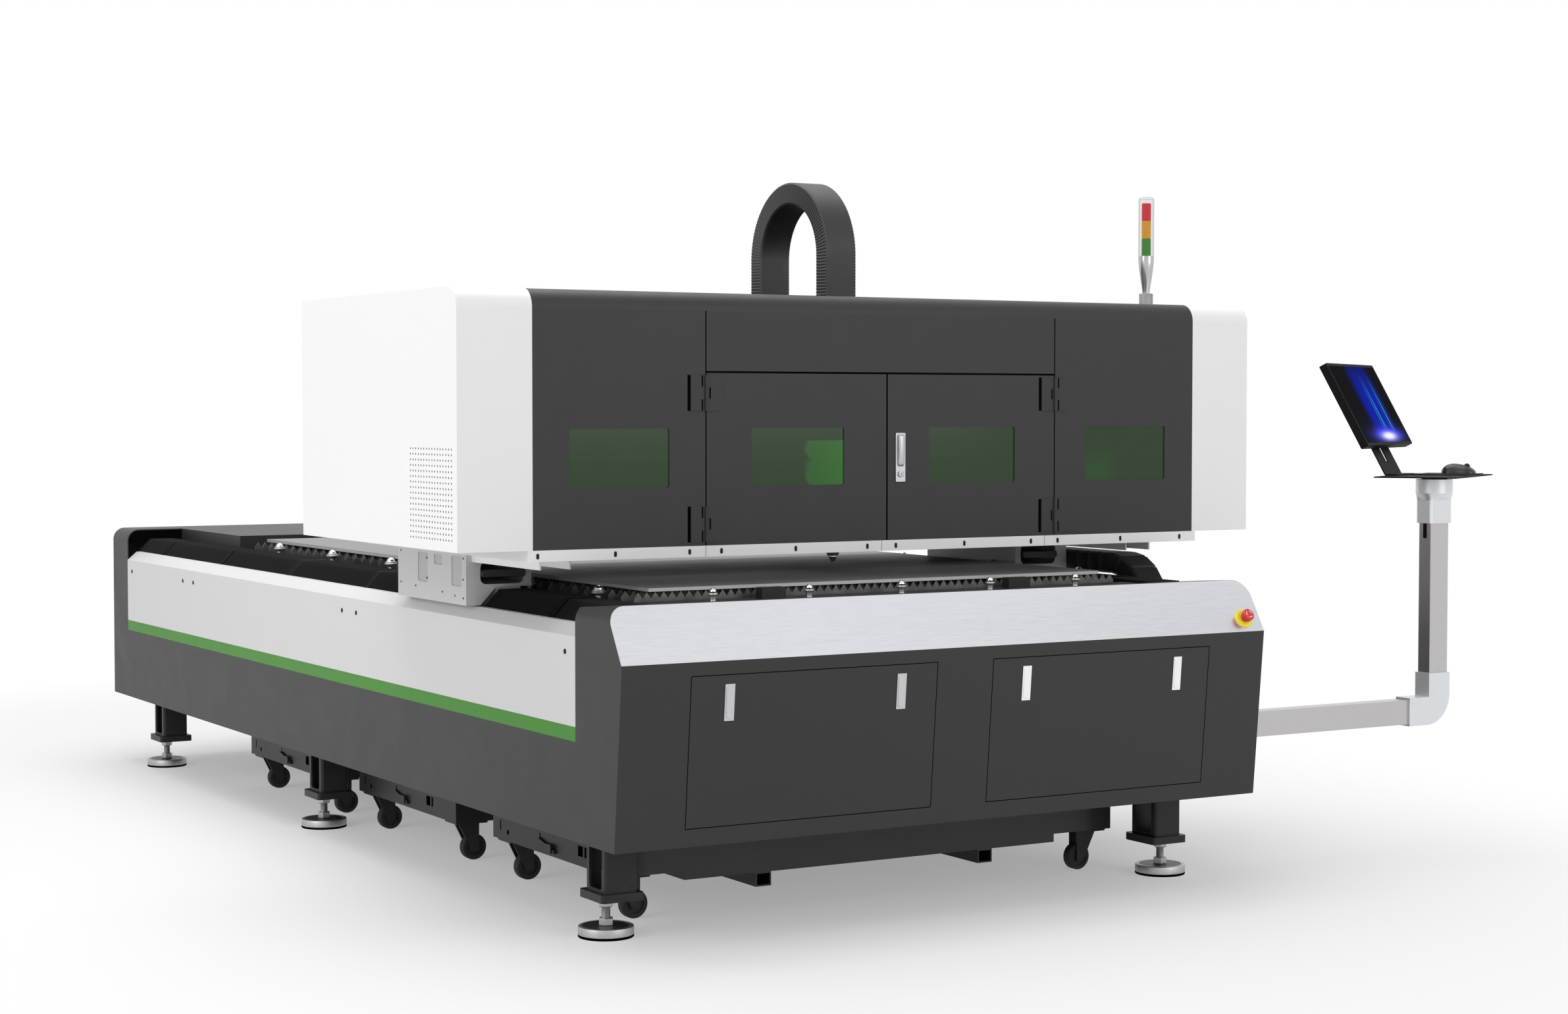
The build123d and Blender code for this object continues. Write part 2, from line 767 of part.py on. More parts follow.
ball_run = ball_side_first_y - ball_side_last_y
ball_steps = ball_side_count - 2 + ball_side_end_share
ball_rows = [ball_side_first_y - i * ball_run / ball_steps for i in range(ball_side_count - 1)] + [ball_side_last_y]
front_unit = (ball_r, ball_cup_r, ball_cup_h)
side_unit = (ball_side_r, ball_side_cup_r, ball_side_cup_h)
balls = [ball_unit(i * ball_front_pitch, ball_front_y, sill_top_z, *front_unit) for i in range(-2, 3)]
balls += [ball_unit(side * ball_side_x, y, beam_top_z, *side_unit) for y in ball_rows for side in (-1, 1)]
keep("ball_units", balls)


# Way covers: ruled loft through alternate high and low sections, hollow underneath
def way_section(drop):
    """Section of a way cover, sunk all round by a given depth."""
    lean = atan2(way_top_z - way_foot_z, way_outer_x - way_shoulder_x)
    shift = drop * tan(lean / 2)
    return [(way_outer_x - drop, way_foot_z), (way_shoulder_x - shift, way_top_z - drop),
            (guide_in_x + drop, way_top_z - drop), (guide_in_x + drop, way_foot_z)]


def way_cover(y0, y1):
    """Pleated cover between two ends on the +X side."""
    count = max(2, round((y1 - y0) / way_pleat_pitch))
    step = (y1 - y0) / (2 * count)
    cuts = []
    for i in range(2 * count + 1):
        ring = Polygon(*way_section(0 if i % 2 else way_pleat_depth))
        cuts.append(Pos(0, y0 + i * step, 0) * (Plane.XZ * ring))
    body = loft(cuts, ruled=True)
    hollow = along_y(Polygon(*way_section(way_pleat_depth + way_skin)), y0 - overrun, y1 + overrun)
    return body - hollow


keep("way_cover_front", both(way_cover(bed_front_y, car_front_y - run_gap)))
keep("way_cover_rear", both(way_cover(car_rear_y + run_gap, way_rear_y)))

# End carriages: plate boxes over the way covers, on bearing blocks
car_profile = [(car_out_x, car_foot_z), (car_out_x, car_top_z), (car_in_x, car_top_z), (car_in_x, car_belly_z),
               (car_out_x - car_foot_w - car_slope_in, car_belly_z), (car_out_x - car_foot_w, car_foot_z)]
car_face = Polygon(*car_profile)


def slot_cut(share, width, bottom):
    """Upright slot through a carriage's outer wall."""
    y = car_rear_y - share * car_len
    outline = soft_rect(y - width / 2, y + width / 2, bottom, car_top_z - car_wall * 2, car_slot_round)
    return along_x(outline, car_out_x - car_wall * 2, car_out_x + overrun)


carriage = along_y(car_face, car_front_y, car_rear_y)
carriage -= along_y(offset(car_face, -car_wall), car_front_y + car_wall, car_rear_y - car_wall)
carriage -= slot_cut(car_slot_places_share[0], car_slot_w, car_slot_bottom_z)
carriage -= slot_cut(car_slot_places_share[1], car_short_slot_w, car_short_slot_bottom_z)
carriage -= slot_cut(car_slot_places_share[2], car_slot_w, car_slot_bottom_z)
carriage += block(car_out_x - car_liner_in - car_wall, car_out_x - car_liner_in, car_front_y + car_wall,
                  car_rear_y - car_wall, car_foot_z + car_wall, car_top_z - car_wall)
notch = soft_rect(car_notch_in_x, car_notch_out_x, car_belly_z + car_wall, car_notch_top_z, car_notch_round)
carriage -= along_y(notch, car_front_y - overrun, car_front_y + car_wall)
base = block(car_base_in_x, car_base_out_x, car_front_y + car_wall, car_rear_y - car_wall, car_block_top_z,
             car_belly_z)
trucks = []
for y in (car_front_y + car_wall + car_block_len / 2, car_rear_y - car_wall - car_block_len / 2):
    truck = block(rail_x - car_block_w / 2, rail_x + car_block_w / 2, y - car_block_len / 2, y + car_block_len / 2,
                  beam_top_z + rail_h / 2, car_block_top_z)
    truck -= block(rail_x - rail_w / 2 - run_gap, rail_x + rail_w / 2 + run_gap, y - car_block_len,
                   y + car_block_len, beam_top_z, beam_top_z + rail_h + run_gap)
    trucks.append(truck)
end_truck = [carriage + base, *trucks]
keep("carriage_left", [mirror(piece, about=Plane.YZ) for piece in end_truck])
chain_top_z = tray_z + run_gap + 2 * chain_bend_r
chain_arm = block(car_out_x, chain_in_x + chain_w, chain_free_y - chain_bracket_len, chain_free_y, chain_top_z,
                  chain_top_z + chain_bracket_t)
keep("carriage_right", [end_truck[0] + chain_arm, *trucks])

# Cross beam with its two rails
beam = block(-beam_half_len, beam_half_len, beam_front_y, beam_rear_y, car_top_z, beam_up_z)
beam -= block(-beam_half_len + beam_plate, beam_half_len - beam_plate, beam_front_y + beam_plate,
              beam_rear_y - beam_plate, car_top_z + beam_plate, beam_up_z - beam_plate)
rails = [block(-xrail_half_len, xrail_half_len, beam_front_y - xrail_d, beam_front_y, z, z + xrail_h)
         for z in (xrail_low_z, xrail_high_z)]
keep("cross_beam", beam, rails)

# Head carriage: truck on the rails, ram box in front of it, seat for the hoop over the beam
truck_back_y = beam_front_y - run_gap
head_truck = block(head_x - truck_half_w, head_x + truck_half_w, truck_front_y, truck_back_y, truck_bottom_z,
                   truck_top_z)
for z in (xrail_low_z, xrail_high_z):
    head_truck -= block(-xrail_half_len, xrail_half_len, beam_front_y - xrail_d - run_gap, beam_front_y,
                        z - run_gap, z + xrail_h + run_gap)
ram_front_y = head_y - ram_box_d / 2
ram_back_y = head_y + ram_box_d / 2
head_truck += block(head_x - ram_neck_half_w, head_x + ram_neck_half_w, ram_back_y, truck_front_y,
                    ram_neck_bottom_z, truck_top_z)
head_truck += block(hoop_x - hoop_w / 2, hoop_x + hoop_w / 2, truck_front_y, truck_front_y + hoop_seat_t,
                    truck_top_z, hoop_seat_z)
head_truck += block(hoop_x - hoop_w / 2, hoop_x + hoop_w / 2, truck_front_y, hoop_y + hoop_out_r,
                    hoop_seat_z - hoop_seat_t, hoop_seat_z)
ram_box = block(head_x - ram_box_w / 2, head_x + ram_box_w / 2, ram_front_y, ram_back_y, ram_box_bottom_z,
                ram_box_top_z)
ram_box -= block(head_x - ram_box_w / 2 + ram_box_wall, head_x + ram_box_w / 2 - ram_box_wall,
                 ram_front_y + ram_box_wall, ram_back_y - ram_box_wall, ram_box_bottom_z,
                 ram_box_top_z - ram_box_wall)
keep("head_carriage", head_truck + ram_box)
ram_w = ram_box_w - 2 * (ram_box_wall + run_gap)
ram_d = ram_box_d - 2 * (ram_box_wall + run_gap)
ram = block(head_x - ram_w / 2, head_x + ram_w / 2, head_y - ram_d / 2, head_y + ram_d / 2, head_body_top_z,
            ram_top_z)
body = along_z(rect(head_x - head_body_w / 2, head_x + head_body_w / 2, head_y - head_body_d / 2,
                    head_y + head_body_d / 2), head_body_bottom_z, head_body_top_z)
barrel = Polygon((0, nozzle_z), (nozzle_r, nozzle_z), (head_cone_r, head_cone_bottom_z),
                 (head_barrel_r, head_barrel_bottom_z), (head_barrel_r, head_body_bottom_z), (0, head_body_bottom_z))
nose = Pos(head_x, head_y, 0) * revolve(Plane.XZ * barrel, Axis.Z)
keep("cutting_head", ram + body + nose)

# Hoop: round band whose front foot stands on the ram box and rear foot on the seat
band = Circle(hoop_out_r) - Circle(hoop_in_r)
band = band & rect(-hoop_out_r, hoop_out_r, 0, hoop_out_r)
band = Pos(hoop_y, hoop_z) * band
band += rect(hoop_y - hoop_out_r, hoop_y - hoop_in_r, ram_box_top_z, hoop_z)
band += rect(hoop_y + hoop_in_r, hoop_y + hoop_out_r, hoop_seat_z, hoop_z)
keep("line_hoop", along_x(band, hoop_x - hoop_w / 2, hoop_x + hoop_w / 2))


# Hood: bent dark shell between two white side boxes
def hood_outline(inset, bottom):
    """Side view of the hood, set in all round, with its front upper edge rolled."""
    shape = rect(hood_front_y + inset, hood_rear_y - inset, bottom, hood_top_z - inset)
    corner = shape.vertices().sort_by(Axis.X)[:2].sort_by(Axis.Y)[-1]
    return fillet(corner, hood_edge_r - inset)


shell = along_x(hood_outline(0, hood_bottom_z), -hood_half_w, hood_half_w)
shell -= along_x(hood_outline(hood_t, hood_bottom_z - overrun), -hood_half_w, hood_half_w)
for near, far in ((hoop_y - hoop_out_r, hoop_y - hoop_in_r), (hoop_y + hoop_in_r, hoop_y + hoop_out_r)):
    shell -= block(hood_slot_left_x, hood_slot_right_x, near - hood_slot_margin, far + hood_slot_margin,
                   hood_top_z - hood_t * 2, hood_top_z + overrun)
front_skin = (hood_front_y - overrun, hood_front_y + hood_t)
shell -= along_y(rect(-hdoor_out_x, hdoor_out_x, hood_bottom_z - overrun, hdoor_top_z), *front_skin)


def window(x, grow):
    """Outline of a window at a place along the front."""
    return soft_rect(x - win_w / 2 - grow, x + win_w / 2 + grow, win_z - grow, win_z + win_h + grow, win_round)


for x in (-win_fixed_x, win_fixed_x):
    shell -= along_y(window(x, 0), *front_skin)
for x in (-hdoor_out_x, hdoor_out_x):
    shell -= block(x - hood_seam_w / 2, x + hood_seam_w / 2, hood_front_y - overrun, hood_front_y + hood_seam_d,
                   hdoor_top_z, hood_top_z - hood_edge_r)
keep("hood_shell", shell)
inner_skin_y = hood_front_y + hood_t
pane_y = (inner_skin_y, inner_skin_y + pane_t)
keep("hood_panes", [along_y(window(x, pane_lap), *pane_y) for x in (-win_fixed_x, win_fixed_x)])
side_box = along_x(hood_outline(0, hood_bottom_z), hood_half_w, hood_outer_x)
side_box -= along_x(hood_outline(hood_side_t, hood_bottom_z - overrun), hood_half_w + hood_side_t,
                    hood_outer_x - hood_side_t)
keep("hood_side_right", side_box)
keep("hood_side_left", mirror(side_box, about=Plane.YZ))

# Hood base frame: a rim of four bars and the two channel arms that carry it
rim_low = hood_bottom_z - trim_h
rim_front_y = hood_front_y + trim_bar_d
rim_rear_y = hood_rear_y - trim_bar_d
rim = [block(-trim_out_x, trim_out_x, hood_front_y, rim_front_y, rim_low, hood_bottom_z),
       block(-trim_out_x, trim_out_x, rim_rear_y, hood_rear_y, rim_low, hood_bottom_z)]
rim += both(block(trim_in_x, trim_out_x, rim_front_y, rim_rear_y, rim_low, hood_bottom_z))
channel = block(arm_chan_in_x, arm_chan_out_x, arm_chan_front_y, car_front_y, rim_low - arm_chan_h, rim_low)
channel -= block(arm_chan_in_x + arm_chan_wall, arm_chan_out_x - arm_chan_wall, arm_chan_front_y, car_front_y,
                 rim_low - arm_chan_h, rim_low - arm_chan_wall)
keep("hood_frame", rim, both(channel))

# Hood doors, hung on knuckle hinges, with laser-safe windows
hinge_y = hood_front_y - hinge_barrel_r
third = hinge_h / 3


def hinge_half(z, inward, lows):
    """Half of a hinge on the +X seam: a leaf and the knuckles that start at the given heights."""
    near = hdoor_out_x + inward * (hinge_barrel_r + run_gap)
    far = hdoor_out_x + inward * hinge_leaf_w
    lo, hi = sorted((near, far))
    part = block(lo, hi, hood_front_y - hinge_t, hood_front_y, z, z + hinge_h)
    for low in lows:
        knuckle = Pos(hdoor_out_x, hinge_y, z + low + third / 2) * Cylinder(hinge_barrel_r, third - run_gap)
        a, b = sorted((hdoor_out_x, near))
        web = block(a, b, hood_front_y - hinge_t, hood_front_y, z + low + run_gap / 2, z + low + third - run_gap / 2)
        part += knuckle + web
    return part


hinge_rows = (hinge_low_z, hinge_high_z)
keep("hood_hinges", *[both(hinge_half(z, 1, [third])) for z in hinge_rows])
hdoor_low = hood_bottom_z + hdoor_sill
hdoor_in = seam_gap / 2
hdoor_edge = hdoor_out_x - seam_gap
hdoor_high = hdoor_top_z - seam_gap
hdoor = block(hdoor_in, hdoor_edge, hood_front_y, inner_skin_y, hdoor_low, hdoor_high)
fold_face = rect(hdoor_in, hdoor_edge, hdoor_low, hdoor_high) - rect(
    hdoor_in + hdoor_fold_t, hdoor_edge - hdoor_fold_t, hdoor_low + hdoor_fold_t, hdoor_high - hdoor_fold_t)
hdoor += along_y(fold_face, hood_front_y, hood_front_y + hdoor_fold)
hdoor -= along_y(window(win_door_x, 0), *front_skin)
door_hinges = [hinge_half(z, -1, [0, third * 2]) for z in hinge_rows]
plate = block(handle_x - handle_w / 2, handle_x + handle_w / 2, hood_front_y - handle_plate_t, hood_front_y,
              handle_z, handle_z + handle_h)
key = Pos(handle_x, hood_front_y - handle_plate_t, handle_z + handle_key_h / 2) * Rot(90, 0, 0) * Cylinder(
    handle_key_r, handle_key_t, align=(Align.CENTER, Align.CENTER, Align.MIN))
keep("hood_door_right", [hdoor, *door_hinges, plate + key])
keep("hood_door_left", [mirror(piece, about=Plane.YZ) for piece in (hdoor, *door_hinges)])
door_pane = along_y(window(win_door_x, pane_lap), *pane_y)
keep("door_pane_right", door_pane)
keep("door_pane_left", mirror(door_pane, about=Plane.YZ))
grip_back = hood_front_y - handle_plate_t - run_gap
grip = soft_rect(handle_x - handle_w / 2 + handle_round, handle_x + handle_w / 2 - handle_round,
                 handle_z + handle_key_h, handle_z + handle_h - handle_round, handle_round)
keep("hood_handle", along_y(grip, grip_back - handle_t, grip_back))

# Signal tower: base, flared chrome cup, clear tube with cap and a core of three lamps
tower_foot = hood_top_z
cup_side = Polygon((0, tower_foot), (tower_base_r, tower_foot), (tower_base_r, tower_foot + tower_base_h),
                   (tower_neck_r, tower_foot + tower_base_h), (tower_lens_r, tower_cup_z), (0, tower_cup_z))
keep("tower_base", Pos(tower_x, tower_y, 0) * revolve(Plane.XZ * cup_side, Axis.Z))
lens_side = Polygon((tower_lens_r - tower_lens_wall, tower_cup_z), (tower_lens_r, tower_cup_z),
                    (tower_lens_r, tower_top_z), (0, tower_top_z), (0, tower_top_z - tower_cap_h),
                    (tower_lens_r - tower_lens_wall, tower_top_z - tower_cap_h))
lens = Pos(tower_x, tower_y, 0) * revolve(Plane.XZ * lens_side, Axis.Z)
lamp = along_z(Circle(tower_core_r), 0, tower_core_h)
keep("tower_lamp", lens, [Pos(tower_x, tower_y, tower_cup_z + i * tower_core_h) * lamp for i in range(3)])

# Guide chain in a tray along the right side: fixed run, rolling bend and free run
tray = along_y(folded([(tray_out_x, tray_z + tray_lip), (tray_out_x, tray_z - tray_t),
                       (bed_half_w, tray_z - tray_t)][::-1], tray_t), tray_front_y, tray_rear_y)
keep("chain_tray", tray)
chain_low_z = tray_z + run_gap
chain_x = (chain_in_x, chain_in_x + chain_w)


def chain_run(y0, y1, low, groove_z):
    """Straight run of chain with a groove between links on its outer side."""
    run = block(*chain_x, y0, y1, low, low + chain_t)
    count = max(1, int((y1 - y0) / chain_link))
    for i in range(1, count):
        y = y0 + i * (y1 - y0) / count
        run -= block(chain_in_x - overrun, chain_in_x + chain_w + overrun, y - chain_groove / 2,
                     y + chain_groove / 2, groove_z - chain_groove, groove_z + chain_groove)
    return run


keep("chain_fixed_run", chain_run(chain_bend_y, chain_fixed_y, chain_low_z, chain_low_z))
keep("chain_free_run", chain_run(chain_bend_y, chain_free_y, chain_top_z - chain_t, chain_top_z))
turn = Circle(chain_bend_r) - Circle(chain_bend_r - chain_t)
turn = turn & rect(-chain_bend_r, -run_gap, -chain_bend_r, chain_bend_r)
bend = along_x(Pos(chain_bend_y, chain_low_z + chain_bend_r) * turn, *chain_x)
link_count = max(2, round(pi * chain_bend_r / chain_link))
for i in range(1, link_count):
    swing = 90 + 180 * i / link_count
    cut = Pos(0, chain_bend_y, chain_low_z + chain_bend_r) * Rot(swing, 0, 0) * Pos(0, chain_bend_r, 0)
    bend -= cut * Pos(chain_in_x + chain_w / 2, 0, 0) * Box(chain_w + overrun, chain_groove * 2, chain_groove)
keep("chain_bend", bend)

# Console arm: flange, square tubes, cast elbow and collar
arm_back_y = arm_front_y + arm_d
arm_mid_y = arm_front_y + arm_d / 2
flange = block(bed_half_w, bed_half_w + arm_flange_t, arm_front_y - arm_flange_margin, arm_back_y + arm_flange_margin,
               arm_z - arm_flange_margin, arm_z + arm_h + arm_flange_margin)
lying = tube_block(bed_half_w + arm_flange_t, elbow_left_x + elbow_socket, arm_front_y, arm_back_y, arm_z,
                   arm_z + arm_h, arm_wall, "x")
post_l = post_x - post_w / 2
post_r = post_x + post_w / 2
post_foot_z = elbow_top_z - elbow_socket
standing = tube_block(post_l, post_r, arm_front_y, arm_back_y, post_foot_z, post_top_z, arm_wall, "z")
port = soft_rect(arm_mid_y - port_w / 2, arm_mid_y + port_w / 2, port_top_z - port_h, port_top_z, port_w / 4)
standing -= along_x(port, post_l - overrun, post_x)
keep("arm_tubes", [lying, standing])
elbow_side = Polygon((elbow_left_x, arm_z - elbow_wall), (post_r + elbow_wall, arm_z - elbow_wall),
                     (post_r + elbow_wall, elbow_top_z), (post_l - elbow_wall, elbow_top_z),
                     (post_l - elbow_wall, arm_z + arm_h + elbow_wall), (elbow_left_x, arm_z + arm_h + elbow_wall))
heel = elbow_side.vertices().sort_by(Axis.Y)[:2].sort_by(Axis.X)[-1]
elbow = along_y(fillet(heel, elbow_r), arm_front_y - elbow_wall, arm_back_y + elbow_wall)
elbow -= block(elbow_left_x - overrun, elbow_left_x + elbow_socket, arm_front_y, arm_back_y, arm_z, arm_z + arm_h)
elbow -= block(post_l, post_r, arm_front_y, arm_back_y, post_foot_z, elbow_top_z + overrun)
square = soft_rect(post_l - collar_wall, post_r + collar_wall, arm_front_y - collar_wall, arm_back_y + collar_wall,
                   collar_edge_r)
collar = along_z(square, collar_bottom_z, collar_square_top_z)
collar += loft([Pos(0, 0, collar_square_top_z) * square,
                Pos(post_x, arm_mid_y, collar_round_z) * Circle(collar_r)])
collar += Pos(post_x, arm_mid_y, 0) * along_z(Circle(collar_r), collar_round_z, collar_top_z)
collar -= block(post_l, post_r, arm_front_y, arm_back_y, collar_bottom_z - overrun, post_top_z)
keep("arm_castings", [flange, elbow, collar])

# Console: swivelling tray, leaning slotted bracket, monitor that slides on it, mouse pad and mouse
console_z = collar_top_z + run_gap + console_hub_h
console_at = Pos(post_x, arm_mid_y, console_z) * Rot(0, 0, console_turn)
console = block(-console_w / 2, console_w / 2, -console_d / 2, console_d / 2, 0, console_t)
console += along_z(Circle(console_hub_r), -console_hub_h, 0)
pad = block(pad_e - pad_w / 2, pad_e + pad_w / 2, -pad_f - pad_d / 2, -pad_f + pad_d / 2, console_t,
            console_t + pad_t)
keep("console_tray", console_at * console, console_at * pad)
lean_plane = Plane(origin=(0, console_d / 2, console_t), x_dir=(1, 0, 0),
                   z_dir=(0, -cos(radians(screen_lean)), sin(radians(screen_lean))))
arm_plate = rect(-bracket_w / 2, bracket_w / 2, 0, bracket_len)
arm_plate -= soft_rect(-bracket_slot_w / 2, bracket_slot_w / 2, bracket_slot_up, bracket_slot_up + bracket_slot_len,
                       bracket_slot_w / 2 - run_gap)
bracket = lean_plane * Pos(0, 0, -bracket_t) * extrude(arm_plate, bracket_t)
bracket += block(-bracket_w / 2, bracket_w / 2, console_d / 2 - bracket_foot, console_d / 2 + bracket_t, console_t,
                 console_t + bracket_t)
under = block(-bracket_w, bracket_w, console_d / 2 - bracket_foot * 2, console_d * 2, -console_d, console_t)
keep("monitor_bracket", console_at * (bracket - under))
screen_low = screen_up - screen_h / 2
panel = extrude(soft_rect(-screen_w / 2, screen_w / 2, screen_low, screen_low + screen_h, screen_round), screen_t)
monitor = Pos(0, 0, screen_off) * panel
monitor += Pos(0, 0, run_gap) * extrude(rect(-screen_pad / 2, screen_pad / 2, screen_up - screen_pad,
                                             screen_up), screen_off - run_gap)
knob_up = bracket_slot_up + bracket_slot_len / 2
monitor += Pos(0, knob_up, -bracket_t - run_gap) * extrude(Circle(screen_boss_r), bracket_t + 2 * run_gap + screen_off)
monitor += Pos(0, knob_up, -bracket_t - run_gap - knob_t) * extrude(Circle(knob_r), knob_t)
keep("monitor", console_at * (lean_plane * monitor))
shape = Box(mouse_w, mouse_len, mouse_h)
crown = shape.edges().sort_by(Axis.Z)[-4:] + shape.edges().filter_by(Axis.Z)
mouse = Pos(mouse_e, -mouse_f, console_t + pad_t + mouse_h / 2) * fillet(crown, mouse_round)
keep("mouse", console_at * mouse)


# Slag carts: shallow trays on four casters, with lifting tubes underneath
def cart(mid_y):
    """One cart tray with its pan, slotted side walls, lifting tubes and caster forks."""
    y0 = mid_y - cart_half_len
    y1 = mid_y + cart_half_len
    tray_body = block(-cart_half_w, cart_half_w, y0, y1, cart_floor_z, cart_top_z)
    tray_body += block(-cart_pan_half_w, cart_pan_half_w, y0, y1, cart_floor_z - cart_pan_h, cart_floor_z)
    tray_body -= block(-cart_half_w + cart_wall, cart_half_w - cart_wall, y0 + cart_wall, y1 - cart_wall,
                       cart_floor_z + cart_wall, cart_top_z)
    tray_body -= block(-cart_pan_half_w + cart_wall, cart_pan_half_w - cart_wall, y0 + cart_wall, y1 - cart_wall,
                       cart_floor_z - cart_pan_h + cart_wall, cart_top_z)
    slot_z = cart_floor_z + cart_slot_up
    for y, wide in ((-cart_slot_y, cart_slot_w), (-cart_slot_y - cart_slot_gap, cart_slot_thin_w),
                    (cart_end_slot_y, cart_end_slot_w), (lever_back, cart_end_slot_w)):
        tray_body -= block(-cart_half_w - overrun, cart_half_w + overrun, mid_y + y - wide / 2, mid_y + y + wide / 2,
                           slot_z - cart_slot_h / 2, slot_z + cart_slot_h / 2)
    pin_hole = Cylinder(cart_hole_r, 2 * (cart_half_w + overrun))
    tray_body -= Pos(0, mid_y + cart_hole_y, cart_floor_z + cart_hole_up) * Rot(0, 90, 0) * pin_hole
    pan_low = cart_floor_z - cart_pan_h
    tubes = [tube_block(x - cart_tube_w / 2, x + cart_tube_w / 2, y0, y1, pan_low - cart_tube_h, pan_low,
                        cart_tube_wall, "y") for x in (-cart_tube_x, cart_tube_x)]
    forks = []
    for y in (mid_y - wheel_y, mid_y + wheel_y):
        forks += both(fork(y))
    low_z = cart_floor_z + lever_up
    bar = Polygon((mid_y - lever_front, low_z - lever_h / 2), (mid_y + lever_back, low_z + lever_rise - lever_h / 2),
                  (mid_y + lever_back, low_z + lever_rise + lever_h / 2), (mid_y - lever_front, low_z + lever_h / 2))
    lever = along_x(bar, -cart_half_w - lever_t, -cart_half_w)
    block_z = low_z + lever_rise / 3
    lever += block(-cart_half_w - lever_block_t, -cart_half_w, mid_y - lever_block_len / 2, mid_y + lever_block_len / 2,
                   block_z - lever_block_h / 2, block_z + lever_block_h / 2)
    return [tray_body, *tubes, *forks, lever]


def fork(y):
    """Caster fork with its plate and axle, on the +X side."""
    plate_low = cart_floor_z - fork_plate_t
    plate_x = wheel_x + fork_trail
    top = block(plate_x - fork_plate_len / 2, plate_x + fork_plate_len / 2, y - fork_plate_w / 2, y + fork_plate_w / 2,
                plate_low, cart_floor_z)
    cheek_out = Polygon((plate_x - fork_plate_len / 3, plate_low), (plate_x + fork_plate_len / 3, plate_low),
                        (wheel_x + fork_tip_r, wheel_r - fork_tip_r), (wheel_x - fork_tip_r, wheel_r - fork_tip_r))
    gap = wheel_w / 2 + run_gap
    for low, high in ((y - gap - fork_t, y - gap), (y + gap, y + gap + fork_t)):
        top += along_y(cheek_out, low, high)
    axle = Pos(wheel_x, y, wheel_r) * Rot(90, 0, 0) * Cylinder(axle_r, 2 * (gap + fork_t))
    return top + axle


def wheel(x, y):
    """Caster wheel with dished sides and a bore."""
    disc = chamfer(Cylinder(wheel_r, wheel_w).edges(), wheel_round)
    dish = Cylinder(wheel_dish_r, wheel_dish)
    for z in (-wheel_w / 2, wheel_w / 2):
        disc -= Pos(0, 0, z) * (dish - Cylinder(axle_r * 2, wheel_dish))
    disc -= Cylinder(axle_r + run_gap, wheel_w * 2)
    return Pos(x, y, wheel_r) * Rot(90, 0, 0) * disc


for i, tag in enumerate(("front", "mid", "rear")):
    mid_y = cart_first_y + i * cart_pitch
    keep("cart_" + tag, cart(mid_y))
    for side, hand in ((-1, "left"), (1, "right")):
        pair = [wheel(side * wheel_x, mid_y + end * wheel_y) for end in (-1, 1)]
        keep("wheels_" + tag + "_" + hand, pair)

os.makedirs("parts", exist_ok=True)
for name, solids in nodes.items():
    flat = []
    for item in solids:
        flat.extend(item.solids())
    shape = flat[0] if len(flat) == 1 else Compound(children=flat)
    shape.label = name
    export_step(shape, os.path.join("parts", name + ".step"))
print(len(nodes), "pieces")
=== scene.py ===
"""Looks of an open-bed laser cutting machine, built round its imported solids.

Metres, +Z up. X = 0 is the middle of the bed, -Y the operator's front, Z = 0 the floor.
New pieces are numpy surfaces: a grid of points over two parameters, or a profile carried along a path.
"""
import json
import math

import bmesh
import bpy
import numpy as np
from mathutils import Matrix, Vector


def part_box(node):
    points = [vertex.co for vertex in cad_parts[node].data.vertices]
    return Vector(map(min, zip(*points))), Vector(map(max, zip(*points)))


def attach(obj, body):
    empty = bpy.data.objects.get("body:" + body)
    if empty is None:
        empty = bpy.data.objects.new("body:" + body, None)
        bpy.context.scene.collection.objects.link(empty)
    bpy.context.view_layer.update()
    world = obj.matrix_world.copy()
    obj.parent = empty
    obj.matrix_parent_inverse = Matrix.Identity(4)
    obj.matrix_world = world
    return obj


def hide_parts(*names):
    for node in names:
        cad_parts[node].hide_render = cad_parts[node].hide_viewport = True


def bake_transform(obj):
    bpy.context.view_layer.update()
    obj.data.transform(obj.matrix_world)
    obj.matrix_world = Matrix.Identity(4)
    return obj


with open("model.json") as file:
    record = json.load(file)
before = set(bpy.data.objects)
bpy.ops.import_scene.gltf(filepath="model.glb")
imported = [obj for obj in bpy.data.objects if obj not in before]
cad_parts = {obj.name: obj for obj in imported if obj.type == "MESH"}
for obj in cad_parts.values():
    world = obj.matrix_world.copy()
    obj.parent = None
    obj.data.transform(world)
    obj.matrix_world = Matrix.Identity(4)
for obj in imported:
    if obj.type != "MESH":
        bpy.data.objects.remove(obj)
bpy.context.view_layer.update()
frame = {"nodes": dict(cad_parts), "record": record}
nodes = frame["nodes"]


# Finishes: a socket that can be reckoned with, and a tree that grows from it


